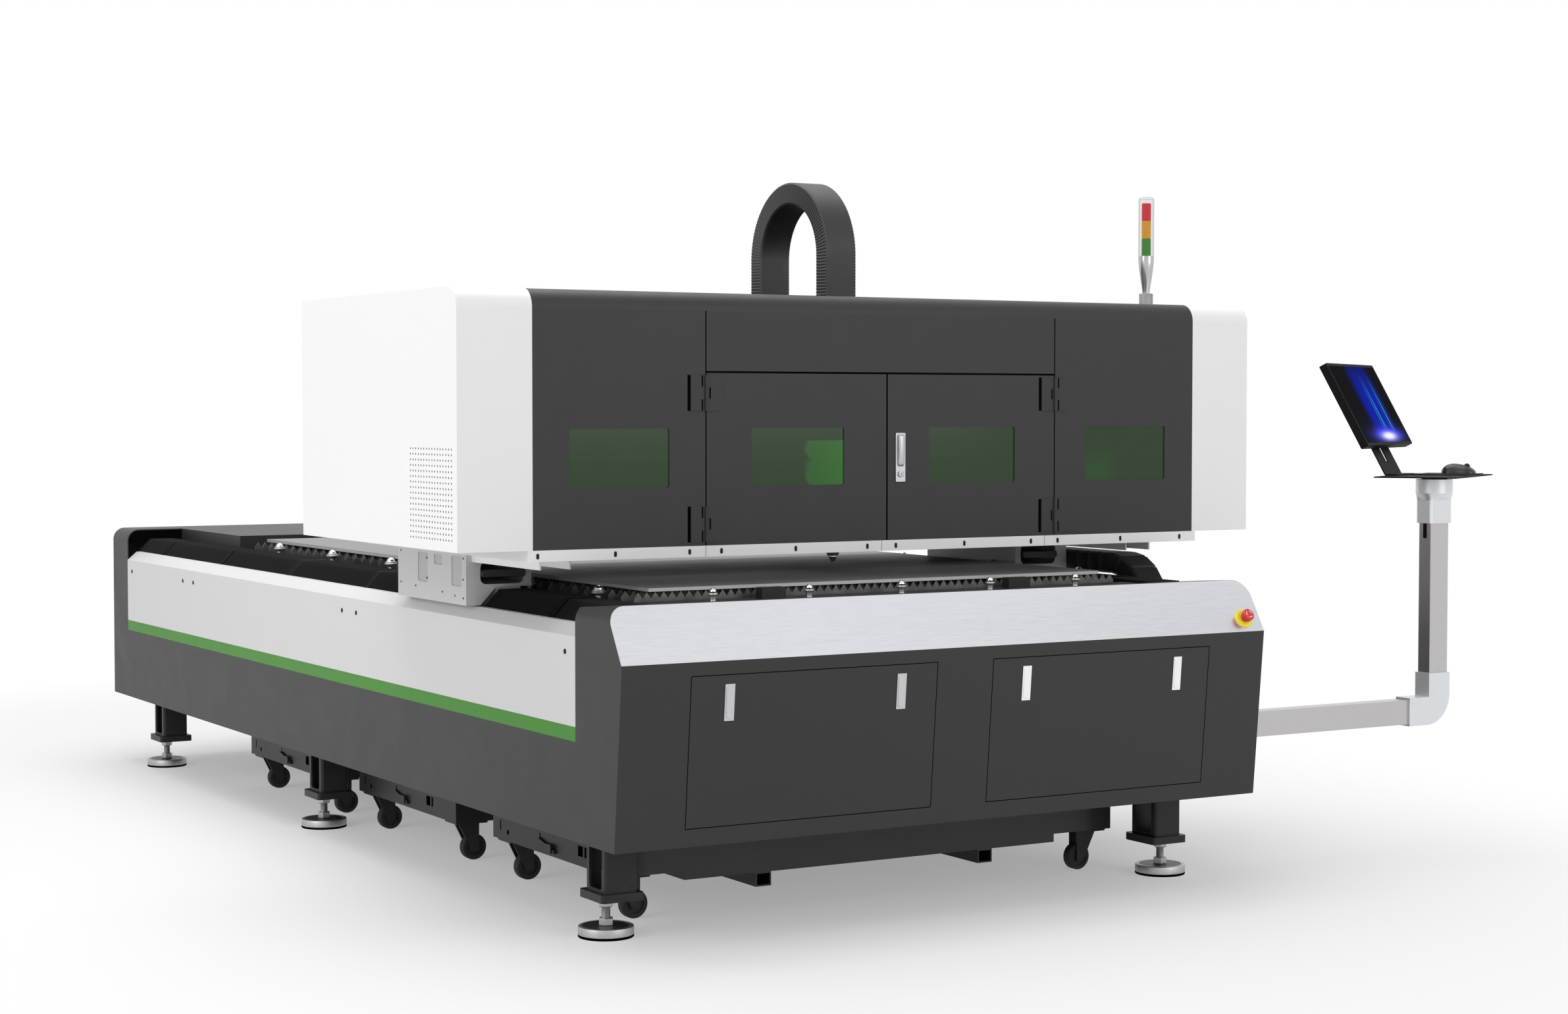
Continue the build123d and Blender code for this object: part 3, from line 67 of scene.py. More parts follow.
class Tap:
    """One socket of a finish; sums, products and powers with numbers or other taps add Math nodes."""

    def __init__(self, finish, socket):
        self.finish = finish
        self.socket = socket

    def reckon(self, operation, *terms):
        return self.finish.node("Math", {"operation": operation}, dict(enumerate(terms)))

    def __add__(self, other):
        return self.reckon("ADD", self, other)

    def __radd__(self, other):
        return self.reckon("ADD", other, self)

    def __sub__(self, other):
        return self.reckon("SUBTRACT", self, other)

    def __rsub__(self, other):
        return self.reckon("SUBTRACT", other, self)

    def __mul__(self, other):
        return self.reckon("MULTIPLY", self, other)

    def __rmul__(self, other):
        return self.reckon("MULTIPLY", other, self)

    def __truediv__(self, other):
        return self.reckon("DIVIDE", self, other)

    def __rtruediv__(self, other):
        return self.reckon("DIVIDE", other, self)

    def __pow__(self, other):
        return self.reckon("POWER", self, other)

    def __neg__(self):
        return self.reckon("MULTIPLY", self, -1.0)

    def __abs__(self):
        return self.reckon("ABSOLUTE", self)

    def wave(self):
        return self.reckon("SINE", self)

    def least(self, other):
        return self.reckon("MINIMUM", self, other)

    def most(self, other):
        return self.reckon("MAXIMUM", self, other)

    def rise(self, low, high):
        """0 below low, 1 above high, a smooth step between."""
        return self.finish.node("MapRange", {"interpolation_type": "SMOOTHSTEP"},
                                {"Value": self, "From Min": low, "From Max": high})


class Finish:
    """A material, or a world, grown node by node, with its shader at the end."""

    def __init__(self, name, shelf="materials"):
        self.block = getattr(bpy.data, shelf).new(name)
        self.block.use_nodes = True
        self.tree = self.block.node_tree
        self.tree.nodes.clear()
        self.cache = {}

    def node(self, kind, settings=None, sockets=None, out=0):
        """Adds one node: its settings first, then values or links on its sockets; gives back one output."""
        made = self.tree.nodes.new("ShaderNode" + kind)
        for key, value in (settings or {}).items():
            setattr(made, key, value)
        for key, value in (sockets or {}).items():
            if isinstance(value, Tap):
                self.tree.links.new(value.socket, made.inputs[key])
            else:
                made.inputs[key].default_value = value
        return Tap(self, made.outputs[out]) if made.outputs else None

    def outs(self, tap, names):
        """Several outputs of the node behind a tap."""
        return [Tap(self, tap.socket.node.outputs[name]) for name in names]

    def spot(self):
        """Where a point lies on the object, in metres."""
        if "spot" not in self.cache:
            self.cache["spot"] = self.node("TexCoord", out="Object")
        return self.cache["spot"]

    def xyz(self):
        """The three co-ordinates of a point as values."""
        if "xyz" not in self.cache:
            self.cache["xyz"] = self.outs(self.node("SeparateXYZ", None, {0: self.spot()}), range(3))
        return self.cache["xyz"]

    def grain(self, scale, detail=2.0, rough=0.5, stretch=(1, 1, 1), bend=0.0):
        """Noise from 0 to 1 whose cells are 1/scale metres long, drawn out along an axis by stretch."""
        place = self.node("Mapping", None, {"Vector": self.spot(), "Scale": stretch})
        return self.node("TexNoise", None, {"Vector": place, "Scale": scale, "Detail": detail,
                                            "Roughness": rough, "Distortion": bend})

    def cells(self, scale):
        """Distance to the nearest seed of a scatter of points."""
        return self.node("TexVoronoi", None, {"Vector": self.spot(), "Scale": scale})

    def blend(self, share, one, two):
        """Colour that goes from one to two as share goes from 0 to 1."""
        one, two = [c if isinstance(c, Tap) else (*c, 1.0) for c in (one, two)]
        return self.node("Mix", {"data_type": "RGBA"}, {0: share, 6: one, 7: two}, 2)

    def relief(self, height, depth):
        """Normal of a surface raised by height times depth, in metres."""
        return self.node("Bump", None, {"Height": height, "Distance": depth})

    def surface(self, **sockets):
        """Ends the tree in the surface shader; names are its sockets with _ for a space."""
        made = self.node("BsdfPrincipled", None, {k.replace("_", " "): v for k, v in sockets.items()})
        self.node("OutputMaterial", None, {"Surface": made})
        return self.block


def tint(colour, factor):
    """A colour made lighter or darker."""
    return tuple(min(1.0, c * factor) for c in colour)


def paint(name, colour, rough, drift, peel=0.00005, cell=480.0, speck=0.0, shine=0.5, fittings=None,
          painted_light_board=None):
    """Sprayed paint: slow drift of tone, fine orange peel, a little dust low down.

    Fittings past an X on the left are black, and a board at a front Y is painted paler as far as its dark
    ends: painted light, standing in for the light that the shade under the housing takes away.
    """
    f = Finish(name)
    x, y, z = f.xyz()
    slow = f.grain(1.6, 3.0, 0.55)
    fine = f.grain(cell, 2.0, 0.6)
    haze = f.grain(11.0, 4.0, 0.6)
    tone = f.blend(slow * 0.6 + haze * 0.4, tint(colour, 1.0 - drift), tint(colour, 1.0 + drift))
    if speck:
        tone = f.blend(fine.rise(0.52, 0.70) * speck, tone, tint(colour, 1.7))
    dust_top = 0.42
    dust = (dust_top - z).rise(0.0, dust_top) * haze.rise(0.45, 0.75) * 0.04
    tone = f.blend(dust, tone, (0.36, 0.35, 0.33))
    edge = 0.001
    # Painted light: the board's front face is made paler in place of the shade that falls on it under the
    # housing; the paler tone fades out towards both ends.
    if painted_light_board is not None:
        front = (1.0 - y.rise(painted_light_board, painted_light_board + edge)) * (1.0 - abs(x).rise(0.735, 0.785))
        tone = f.blend(front, tone, (0.058, 0.058, 0.059))
    if fittings is not None:
        tone = f.blend((-x).rise(fittings, fittings + edge), tone, (0.002, 0.002, 0.002))
    gloss = rough + (haze - 0.5) * 0.14 + (fine - 0.5) * 0.06
    return f.surface(Base_Color=tone, Roughness=gloss, Normal=f.relief(fine, peel),
                     Specular_IOR_Level=shine)


def brushed(name, colour, rough, along, scale, contrast=0.08):
    """Brushed metal: hair lines drawn out along one axis, with broad faint bands."""
    f = Finish(name)
    hair = f.grain(scale, 6.0, 0.7, along)
    band = f.grain(1.2, 2.0, 0.5, (0.35, 3.0, 3.0))
    mark = hair * 0.7 + band * 0.3
    tone = f.blend(mark.rise(0.30, 0.72), tint(colour, 1.0 - contrast), tint(colour, 1.0 + contrast))
    gloss = rough + (hair - 0.5) * 0.28 + (band - 0.5) * 0.10
    return f.surface(Base_Color=tone, Metallic=1.0, Roughness=gloss, Normal=f.relief(hair, 0.00003))


def turned_metal(name, colour, rough=0.10, smear=0.10, dull=0.0, fade=0.90):
    """Plated or machined metal with faint smears and fine tool marks."""
    f = Finish(name)
    smudge = f.grain(26.0, 4.0, 0.6)
    rings = f.grain(30.0, 3.0, 0.6, (1.0, 1.0, 22.0))
    tone = f.blend(smudge.rise(0.35, 0.75), tint(colour, fade), colour)
    gloss = rough + smudge * smear + rings * 0.05
    return f.surface(Base_Color=tone, Metallic=1.0 - dull, Roughness=gloss, Normal=f.relief(rings, 0.00001))


def plastic(name, colour, rough, cell=900.0, coat=0.0):
    """Moulded plastic: spark-eroded grain, faint rubbing on the surface."""
    f = Finish(name)
    fine = f.grain(cell, 2.0, 0.55)
    rub = f.grain(18.0, 4.0, 0.6)
    tone = f.blend(rub.rise(0.40, 0.80), colour, tint(colour, 1.35))
    gloss = rough + (rub - 0.5) * 0.20 + (fine - 0.5) * 0.08
    return f.surface(Base_Color=tone, Roughness=gloss, Normal=f.relief(fine, 0.00005), Coat_Weight=coat)


def rubber(name, colour, rough=0.75, shine=0.5):
    """Rubber: dull, slightly chalky where it is rubbed."""
    f = Finish(name)
    chalk = f.grain(35.0, 4.0, 0.65)
    fine = f.grain(700.0, 2.0, 0.5)
    tone = f.blend(chalk.rise(0.45, 0.8), colour, tint(colour, 2.0))
    return f.surface(Base_Color=tone, Roughness=rough + (chalk - 0.5) * 0.2, Normal=f.relief(fine, 0.00008),
                     Specular_IOR_Level=shine)


def bellows_cloth():
    """Coated cloth: fine grain under a matt film; the crowns are painted paler and the folds near black, as
    painted light and shade on the pleats, varied a little by wear.
    """
    f = Finish("bellows_cloth")
    pleat_light = f.node("Attribute", {"attribute_name": "pleat_light"}, out="Fac")
    weave = f.grain(1400.0, 2.0, 0.6)
    wear = f.grain(9.0, 4.0, 0.65)
    # Painted light and shade: paler on the crowns, near black in the folds.
    crown = pleat_light.rise(0.40, 1.0)
    tone = f.blend(crown * (0.70 + wear * 0.4), (0.0006, 0.0006, 0.0007), (0.025, 0.025, 0.026))
    return f.surface(Base_Color=tone, Roughness=0.75 + (wear - 0.5) * 0.15, Normal=f.relief(weave, 0.00008),
                     Specular_IOR_Level=0.08)


def plate_steel():
    """Rolled plate: dark oiled skin with long roll streaks, mottled scale and a bright sheared edge."""
    f = Finish("plate_steel")
    z = f.xyz()[2]
    streak = f.grain(5.0, 5.0, 0.6, (9.0, 0.5, 1.0))
    mottle = f.grain(7.0, 5.0, 0.65, bend=0.6)
    edge = 1.0 - z.rise(0.9135, 0.9146)
    skin = f.blend(streak * 0.5 + mottle * 0.5, (0.205, 0.205, 0.208), (0.275, 0.275, 0.279))
    tone = f.blend(edge, skin, (0.50, 0.50, 0.51))
    gloss = 0.50 + (mottle - 0.5) * 0.12 + (streak - 0.5) * 0.08
    return f.surface(Base_Color=tone, Metallic=edge * 0.6, Roughness=gloss, Normal=f.relief(mottle, 0.00002),
                     Specular_IOR_Level=0.14)


def slat_steel():
    """Slat stock: dull mill scale, blasted paler and spattered towards the points."""
    f = Finish("slat_steel")
    z = f.xyz()[2]
    scale = f.grain(40.0, 5.0, 0.65)
    burnt = z.rise(0.86, 0.905)
    tone = f.blend(burnt * scale.rise(0.3, 0.7), (0.090, 0.090, 0.092), (0.200, 0.195, 0.190))
    beads = (1.0 - f.cells(160.0).rise(0.10, 0.22)) * burnt
    tone = f.blend(beads * 0.5, tone, (0.30, 0.29, 0.28))
    return f.surface(Base_Color=tone, Metallic=0.40, Roughness=0.50 + (scale - 0.5) * 0.3,
                     Normal=f.relief(scale + beads * 0.6, 0.00015))


def filter_glass():
    """Dark green laser filter: near black, with painted light: the pane glows faintly all over and more
    brightly in soft patches, standing in for the lamp-lit room behind it.
    """
    f = Finish("filter_glass")
    x, _, z = f.xyz()
    cloud = f.grain(14.0, 4.0, 0.6)
    # Painted light: the patches where the pane glows, with its colour paler green there too.
    ragged = x + (cloud - 0.5) * 0.090 + (z - 1.245) * 0.15
    lit = ragged.rise(-0.262, -0.250) * (1.0 - x.rise(-0.10, -0.09)) * (1.0 - z.rise(1.3105, 1.3125))
    lit = lit * (0.70 + (x + 0.26).rise(0.0, 0.12) * 0.30)
    faint = (1.0 - abs(x - 0.745).rise(0.02, 0.10)) * (1.0 - z.rise(1.22, 1.30)) * 0.20
    shelf = (z.rise(1.262, 1.266) - z.rise(1.270, 1.276)) * 0.03
    painted_glow = (lit + faint + shelf).least(1.0)
    tone = f.blend(painted_glow, (0.008, 0.020, 0.006), (0.014, 0.080, 0.009))
    light = f.blend(painted_glow, (0.008, 0.022, 0.006), (0.009, 0.058, 0.0068))
    return f.surface(Base_Color=tone, Roughness=0.12 + cloud * 0.05, Emission_Color=light,
                     Emission_Strength=1.0, Specular_IOR_Level=0.3)


def lamp_glass(name, colour, power):
    """Ribbed coloured lamp, lit from inside."""
    f = Finish(name)
    z = f.xyz()[2]
    rib = (z * 900.0).wave() * 0.5 + 0.5
    tone = f.blend(rib, tint(colour, 0.8), colour)
    light = f.blend(rib, tint(colour, power * 0.8), tint(colour, power))
    return f.surface(Base_Color=tone, Roughness=0.45 + rib * 0.1, Emission_Color=light, Emission_Strength=1.0,
                     Specular_IOR_Level=0.15)


def clear_tube():
    """Clear moulded tube: see-through in the middle, greyer where the wall is seen edge on, faint streaks."""
    f = Finish("clear_tube")
    streak = f.grain(30.0, 2.0, 0.5, (1.0, 1.0, 0.1))
    wall = f.node("LayerWeight", None, {"Blend": 0.5}, "Facing").rise(0.45, 1.0)
    tone = f.blend(streak, (0.16, 0.18, 0.18), (0.24, 0.26, 0.26))
    return f.surface(Base_Color=tone, Roughness=0.10 + streak * 0.05, IOR=1.49, Specular_IOR_Level=0.25,
                     Alpha=0.06 + streak * 0.04 + wall * 0.55)


def screen_glow():
    """Blue standby picture: a bright pool near the lower edge, upright beams rising out of it, dark about."""
    f = Finish("screen_glow")
    place = f.node("UVMap", {"uv_map": "face"})
    u, v = f.outs(f.node("SeparateXYZ", None, {0: place}), range(2))
    middle = 0.56
    aside = abs(u - middle)
    pool = 1.0 / (1.0 + ((aside / 0.27) ** 2.0 + ((v - 0.10) / 0.085) ** 2.0) ** 3.0)
    core = 1.0 / (1.0 + ((aside / 0.13) ** 2.0 + ((v - 0.08) / 0.045) ** 2.0) ** 2.0)
    shaft = (1.0 - aside.rise(0.10, 0.30)) * v.rise(0.06, 0.16)
    fan = ((u - middle) * 46.0).wave() * ((u - 0.5) * 83.0 + 1.1).wave() * 0.5 + 0.5
    streak = shaft * fan.rise(0.55, 1.0) * (1.0 - v.rise(0.35, 0.95)) * u.rise(0.42, 0.66)
    tone = f.blend(shaft * (1.0 - v.rise(0.55, 1.30)), (0.0090, 0.0090, 0.0105), (0.006, 0.018, 0.36))
    tone = f.blend(streak, tone, (0.05, 0.42, 0.62))
    tone = f.blend(pool, tone, (0.012, 0.014, 0.85))
    tone = f.blend(core, tone, (0.92, 0.94, 1.0))
    return f.surface(Base_Color=(0.002, 0.002, 0.003, 1.0), Roughness=0.30 + (1.0 - pool) * 0.06,
                     Emission_Color=tone, Emission_Strength=1.0, Specular_IOR_Level=0.0)


black_spray = {"peel": 0.00008, "cell": 520.0}
cart_spray = {**black_spray, "speck": 0.10, "shine": 0.30, "fittings": 0.9414}
dark_paint = paint("dark_paint", (0.034, 0.034, 0.035), 0.48, 0.08, 0.00010, 520.0, speck=0.16, shine=0.28)
black_paint = paint("black_paint", (0.018, 0.018, 0.019), 0.44, 0.14, speck=0.10, shine=0.30, **black_spray)
cart_paint = paint("cart_paint", (0.018, 0.018, 0.019), 0.44, 0.08, **cart_spray)
# The front cart's board carries painted light: a paler front face where the housing shades it.
front_cart_paint_painted_light = paint("front_cart_paint_painted_light", (0.018, 0.018, 0.019), 0.44, 0.08,
                         painted_light_board=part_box("cart_front")[0][1], **cart_spray)
cover_white = paint("cover_white", (0.665, 0.665, 0.67), 0.40, 0.02)
hood_white = paint("hood_white", (0.915, 0.915, 0.92), 0.40, 0.012)
green_paint = paint("green_paint", (0.070, 0.262, 0.036), 0.46, 0.05, shine=0.15)
grey_paint = paint("grey_paint", (0.575, 0.575, 0.585), 0.42, 0.04, peel=0.00006)
slot_grey = paint("slot_grey", (0.47, 0.47, 0.48), 0.45, 0.02)
console_black = paint("console_black", (0.0085, 0.0085, 0.009), 0.55, 0.12, shine=0.04, **black_spray)
arm_silver = turned_metal("arm_silver", (0.73, 0.75, 0.77), 0.30, 0.05, 0.35, 0.97)
arm_metal = turned_metal("arm_metal", (0.51, 0.49, 0.502), 0.26, 0.03, 0.0, 0.98)
chrome = turned_metal("chrome", (0.78, 0.79, 0.80))
head_metal = turned_metal("head_metal", (0.62, 0.62, 0.64), 0.22, 0.14)
collar_grey = turned_metal("collar_grey", (0.30, 0.30, 0.31), 0.42, 0.10, 0.6)
neck_metal = turned_metal("neck_metal", (0.52, 0.52, 0.53), 0.12, 0.08)
satin_steel = turned_metal("satin_steel", (0.50, 0.49, 0.50), 0.38, 0.10)
sideways, upright = (1.0, 60.0, 60.0), (60.0, 60.0, 2.0)
fascia_metal = brushed("fascia_metal", (0.62, 0.63, 0.66), 0.30, sideways, 14.0)
bright_metal = brushed("bright_metal", (0.56, 0.56, 0.58), 0.34, upright, 12.0)
polished_metal = brushed("polished_metal", (0.865, 0.850, 0.865), 0.30, upright, 12.0, 0.05)
lock_metal = brushed("lock_metal", (0.43, 0.43, 0.445), 0.36, upright, 12.0)
black_plastic = plastic("black_plastic", (0.012, 0.012, 0.013), 0.48)
mouse_plastic = plastic("mouse_plastic", (0.014, 0.014, 0.015), 0.32)
stop_yellow = plastic("stop_yellow", (0.95, 0.88, 0.055), 0.34, coat=0.2)
stop_red = plastic("stop_red", (0.62, 0.010, 0.016), 0.28, coat=0.3)
mark_white = plastic("mark_white", (0.80, 0.80, 0.80), 0.40)
ceramic = plastic("ceramic", (0.78, 0.76, 0.72), 0.35, 300.0)
wheel_rubber = rubber("wheel_rubber", (0.012, 0.012, 0.012))
pad_rubber = rubber("pad_rubber", (0.0012, 0.0012, 0.0012), 0.9, 0.0)
hole_dark = rubber("hole_dark", (0.030, 0.030, 0.031), 0.8)
screw_black = rubber("screw_black", (0.006, 0.006, 0.006), 0.6, 0.2)
# Dark joints, also used for the painted shadow strips beside the hinges.
joint_and_shadow_dark = rubber("joint_and_shadow_dark", (0.003, 0.003, 0.003), 0.9, 0.0)

dressed = {
    dark_paint: ["skirts", "front_housing", "front_door_left", "front_door_right", "hood_shell",
                 "hood_door_left", "hood_door_right", "rear_deck", "rear_cap", "hood_hinges"],
    black_paint: ["bed_frame", "bed_legs", "front_sill", "chain_tray"],
    cart_paint: ["cart_mid", "cart_rear"],
    front_cart_paint_painted_light: ["cart_front"],
    console_black: ["console_tray", "monitor_bracket", "monitor"],
    cover_white: ["side_covers"],
    hood_white: ["hood_side_left", "hood_side_right", "hood_frame"],
    green_paint: ["stripes"],
    grey_paint: ["carriage_left", "carriage_right", "cross_beam", "head_carriage"],
    arm_metal: ["arm_tubes"],
    arm_silver: ["arm_castings"],
    fascia_metal: ["front_fascia"],
    head_metal: ["cutting_head"],
    plate_steel(): ["work_sheet"],
    filter_glass(): ["hood_panes", "door_pane_left", "door_pane_right"],
    wheel_rubber: ["wheels_%s_%s" % (a, b) for a in ("front", "mid", "rear") for b in ("left", "right")],
    stop_yellow: ["stop_collar"],
    stop_red: ["stop_button"],
}
for finish, names in dressed.items():
    for name in names:
        nodes[name].data.materials.clear()
        nodes[name].data.materials.append(finish)


# Shapes: grids of points, profiles carried along paths, turned sections
x_way = np.array([1.0, 0.0, 0.0])
corner_steps = 4


def lattice(points):
    """Shell over a grid of points that closes in v: point (u, v) joins its next neighbours in quads."""
    m, n = points.shape[:2]
    u, v = np.meshgrid(np.arange(m - 1), np.arange(n), indexing="ij")
    v2 = (v + 1) % n
    quads = np.stack([u * n + v, (u + 1) * n + v, (u + 1) * n + v2, u * n + v2], -1).reshape(-1, 4)
    return points.reshape(-1, 3), [quads]


def carried(rings):
    """Closed tube through rings of points (path, profile, 3), shut at both ends by flat faces."""
    points, faces = lattice(rings)
    m, n = rings.shape[:2]
    ends = np.stack([np.arange(n)[::-1], np.arange(n) + (m - 1) * n])
    return points, faces + [ends]


def turned(profile, steps, centre=(0, 0, 0)):
    """Surface of revolution: radius and height of the profile, swung about the upright through centre."""
    profile = np.asarray(profile, float)
    angle = np.linspace(0.0, 2.0 * np.pi, steps, endpoint=False)
    ring = np.stack([np.cos(angle), np.sin(angle)], -1)
    flat = profile[:, None, :1] * ring[None]
    up = np.broadcast_to(profile[:, None, 1:], (len(profile), steps, 1))
    return lattice(np.concatenate([flat, up], -1) + np.asarray(centre, float))


def rounded(half_w, half_h, r):
    """Outline of a rectangle with round corners: four quarter circles about the corner centres."""
    quarter = np.linspace(0.0, np.pi / 2, corner_steps)
    turns = (quarter[None] + np.arange(4)[:, None] * np.pi / 2).ravel()
    signs = np.repeat([[1, 1], [-1, 1], [-1, -1], [1, -1]], corner_steps, 0)
    return signs * [half_w - r, half_h - r] + r * np.stack([np.cos(turns), np.sin(turns)], -1)


def slab(half_w, half_h, thick, r, edge):
    """Plate with round corners and eased rims: an outline carried up the thickness, drawn in at both ends."""
    heights = np.array([0.0, edge, thick - edge, thick])
    insets = np.array([edge, 0.0, 0.0, edge])
    rings = [np.c_[rounded(half_w - i, half_h - i, max(r - i, edge / 4)), np.full(4 * corner_steps, h)]
             for h, i in zip(heights, insets)]
    return carried(np.stack(rings))


def banded(at, up, flat_w, full_w, half_t, cut):
    """Eight-cornered section at each station: flat_w half across its faces, full_w between its chamfers."""
    sides = [flat_w, full_w, full_w, flat_w, -flat_w, -full_w, -full_w, -flat_w]
    rises = [half_t, half_t - cut, cut - half_t, -half_t, -half_t, cut - half_t, half_t - cut, half_t]
    sides, rises = [[np.broadcast_to(v, len(at))[:, None] for v in row] for row in (sides, rises)]
    return np.stack([at + up * rise + x_way * side for side, rise in zip(sides, rises)], 1)


def moved(shell, turn=None, shift=(0, 0, 0)):
    """A shell turned by a matrix, then shifted."""
    points, faces = shell
    points = points if turn is None else points @ np.asarray(turn).T
    return points + np.asarray(shift, float), faces


def spread(x, y, z):
    """Table of places from co-ordinates that are each one number or a row of them."""
    return np.stack(np.broadcast_arrays(x, y, z), -1).reshape(-1, 3).astype(float)


def both_sides(x, rows):
    """Places at minus and plus x, one for each row along Y."""
    return np.array([(side * x, y, 0.0) for side in (-1, 1) for y in rows])


def repeated(shell, places, turn=None):
    """Copies of one shell at a table of places, as whole arrays."""
    points, faces = moved(shell, turn)
    places = np.asarray(places, float).reshape(-1, 3)
    many = (points[None] + places[:, None]).reshape(-1, 3)
    hop = np.arange(len(places))[:, None, None] * len(points)
    return many, [(np.asarray(f)[None] + hop).reshape(-1, np.asarray(f).shape[1]) for f in faces]


def points_of(made):
    """The points of an object's mesh, one row each."""
    flat = np.empty(len(made.data.vertices) * 3, np.float32)
    made.data.vertices.foreach_get("co", flat)
    return flat.reshape(-1, 3)


def piece(name, shells, finish, body, soft=35.0, replaces=()):
    """One object from several shells: arrays go into the mesh, doubles are merged, faces turned outwards."""
    points, loops, sizes, base = [], [], [], 0
    for shell, faces in shells:
        for f in faces:
            loops.append((np.asarray(f) + base).ravel())
            sizes.append(np.full(len(f), np.asarray(f).shape[1]))
        points.append(shell)
        base += len(shell)
    points, loops, sizes = np.concatenate(points), np.concatenate(loops), np.concatenate(sizes)
    mesh = bpy.data.meshes.new(name)
    mesh.vertices.add(len(points))
    mesh.vertices.foreach_set("co", points.astype(np.float32).ravel())
    mesh.loops.add(len(loops))
    mesh.loops.foreach_set("vertex_index", loops.astype(np.int32))
    mesh.polygons.add(len(sizes))
    mesh.polygons.foreach_set("loop_start", np.r_[0, np.cumsum(sizes)[:-1]].astype(np.int32))
    mesh.polygons.foreach_set("loop_total", sizes.astype(np.int32))
    mesh.update(calc_edges=True)
    work = bmesh.new()
    work.from_mesh(mesh)
    bmesh.ops.remove_doubles(work, verts=work.verts, dist=2e-6)
    bmesh.ops.dissolve_degenerate(work, edges=work.edges, dist=1e-7)
    bmesh.ops.recalc_face_normals(work, faces=work.faces)
    work.to_mesh(mesh)
    work.free()
    mesh.polygons.foreach_set("use_smooth", np.ones(len(mesh.polygons), bool))
    mesh.set_sharp_from_angle(angle=math.radians(soft))
    mesh.materials.append(finish)
    made = bpy.data.objects.new(name, mesh)
    bpy.context.scene.collection.objects.link(made)
    if body:
        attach(made, body)
    if replaces:
        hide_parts(*replaces)
    return made


# Turns that point a shape's top to the front, to the left or to the right
hands = ((-1, "left"), (1, "right"))
to_front = np.array([[1, 0, 0], [0, 0, -1], [0, 1, 0]])
outwards = {"left": np.array([[0, 0, -1], [0, 1, 0], [1, 0, 0]]),
            "right": np.array([[0, 0, 1], [0, 1, 0], [-1, 0, 0]])}


def on_both_hands(name, parts, x, finish, body):
    """A piece on each hand: shapes repeated along rows of Y and Z at that X, their tops pointing outwards."""
    for side, hand in hands:
        shells = [repeated(shell, spread(side * x, y, z), outwards[hand]) for shell, y, z in parts]
        piece("%s_%s" % (name, hand), shells, finish, body)


# Way covers: finely pleated cloth with raised frames between sections
bellows = bellows_cloth()
way_frames = np.array([-1.715, -0.352, 0.352, 1.056, 1.760])
way_frame_half = 0.0135
way_pleat = 0.0125
way_skin = 0.0030
way_in_x, way_top_x, way_out_x = 0.862, 0.954, 1.001
way_low_z, way_top_z = 0.8383, 0.888
way_lean = math.atan2(way_top_z - way_low_z, way_out_x - way_top_x)


def way_stations(y0, y1):
    """Stations along Y, two to a pleat."""
    return np.linspace(y0, y1, 2 * int(round((y1 - y0) / way_pleat)) + 1)


def on_frame(y):
    """True where a station lies on a raised frame."""
    return np.abs(y[:, None] - way_frames).min(1) < way_frame_half


def way_edge(y, sink):
    """Line over the cover from its outer foot to its inner foot, sunk square to each of its faces."""
    slide = sink * math.tan(way_lean / 2)
    low = np.full_like(y, way_low_z)
    top = way_top_z - sink
    inner = way_in_x + sink
    return [(way_out_x - sink, low), (way_top_x - slide, top), (inner, top), (inner, low)]


def way_rings(y0, y1):
    """Cover section at many stations along Y, sunk by a triangle wave and raised again at the frames."""
    y = way_stations(y0, y1)
    sink = np.where(np.arange(len(y)) % 2, 0.0010, 0.0085)
    sink = np.where(on_frame(y), 0.0004, sink)
    section = way_edge(y, sink) + way_edge(y, sink + way_skin)[::-1]
    return np.stack([np.stack([x, y, z], -1) for x, z in section], 1)


for tag, y0, y1, start, end in (("front", -1.971, -1.2703, -1.971, -1.270),
                                ("rear", -0.7627, 2.079, 2.663, -1.230)):
    rings = way_rings(y0, y1)
    cover = piece("bellows_" + tag, [carried(rings), carried(rings * [-1, 1, 1])], bellows, None,
                  soft=20.0, replaces=["way_cover_" + tag])
    along = points_of(cover)[:, 1]
    step = np.rint((along - y0) / np.diff(way_stations(y0, y1))[0]).astype(int)
    # Painted light and shade: 1 on each crest, 0 in each fold, 0.3 on the frames, read by the cloth's finish.
    crest_light = np.where(on_frame(along), 0.3, step % 2).astype(np.float32)
    cover.data.attributes.new("pleat_light", "FLOAT", "POINT").data.foreach_set("value", crest_light)
    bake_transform(cover)

# Slats: thin strips with a row of points along the top
slat_count, slat_steps = 41, 125
slat_half_t, slat_half_len = 0.0015, 0.808
slat_first_y, slat_reach = -1.8335, 3.076
slat_x = np.linspace(-slat_half_len, slat_half_len, slat_steps)
slat_top = np.where(np.arange(slat_steps) % 2, 0.9045, 0.8870)
slat_low = np.full(slat_steps, 0.790)
slat_edges = ((-slat_half_t, slat_low), (-slat_half_t, slat_top), (slat_half_t, slat_top),
              (slat_half_t, slat_low))
slat_rings = np.stack([spread(slat_x, side, z) for side, z in slat_edges], 1)
slat_y = slat_first_y + np.arange(slat_count) * slat_reach / (slat_count - 1)
piece("slat_strips", [repeated(carried(slat_rings), spread(0.0, slat_y, 0.0))], slat_steel(), "bed",
      replaces=["slats"])

# Guide chain: one link profile carried along the lower run, the bend and the upper run
chain_half_w, chain_half_t, chain_cut = 0.0525, 0.0325, 0.007
chain_x, chain_low_z, chain_high_z = 1.1145, 0.6328, 0.9118
chain_front_y, chain_fixed_y, chain_free_y = -1.485, 0.500, -1.016
bend_at, bend_r, bend_links = np.array([chain_x, -1.4853, 0.7723]), 0.1395, 9
link_long, link_joint = 0.062, 0.09


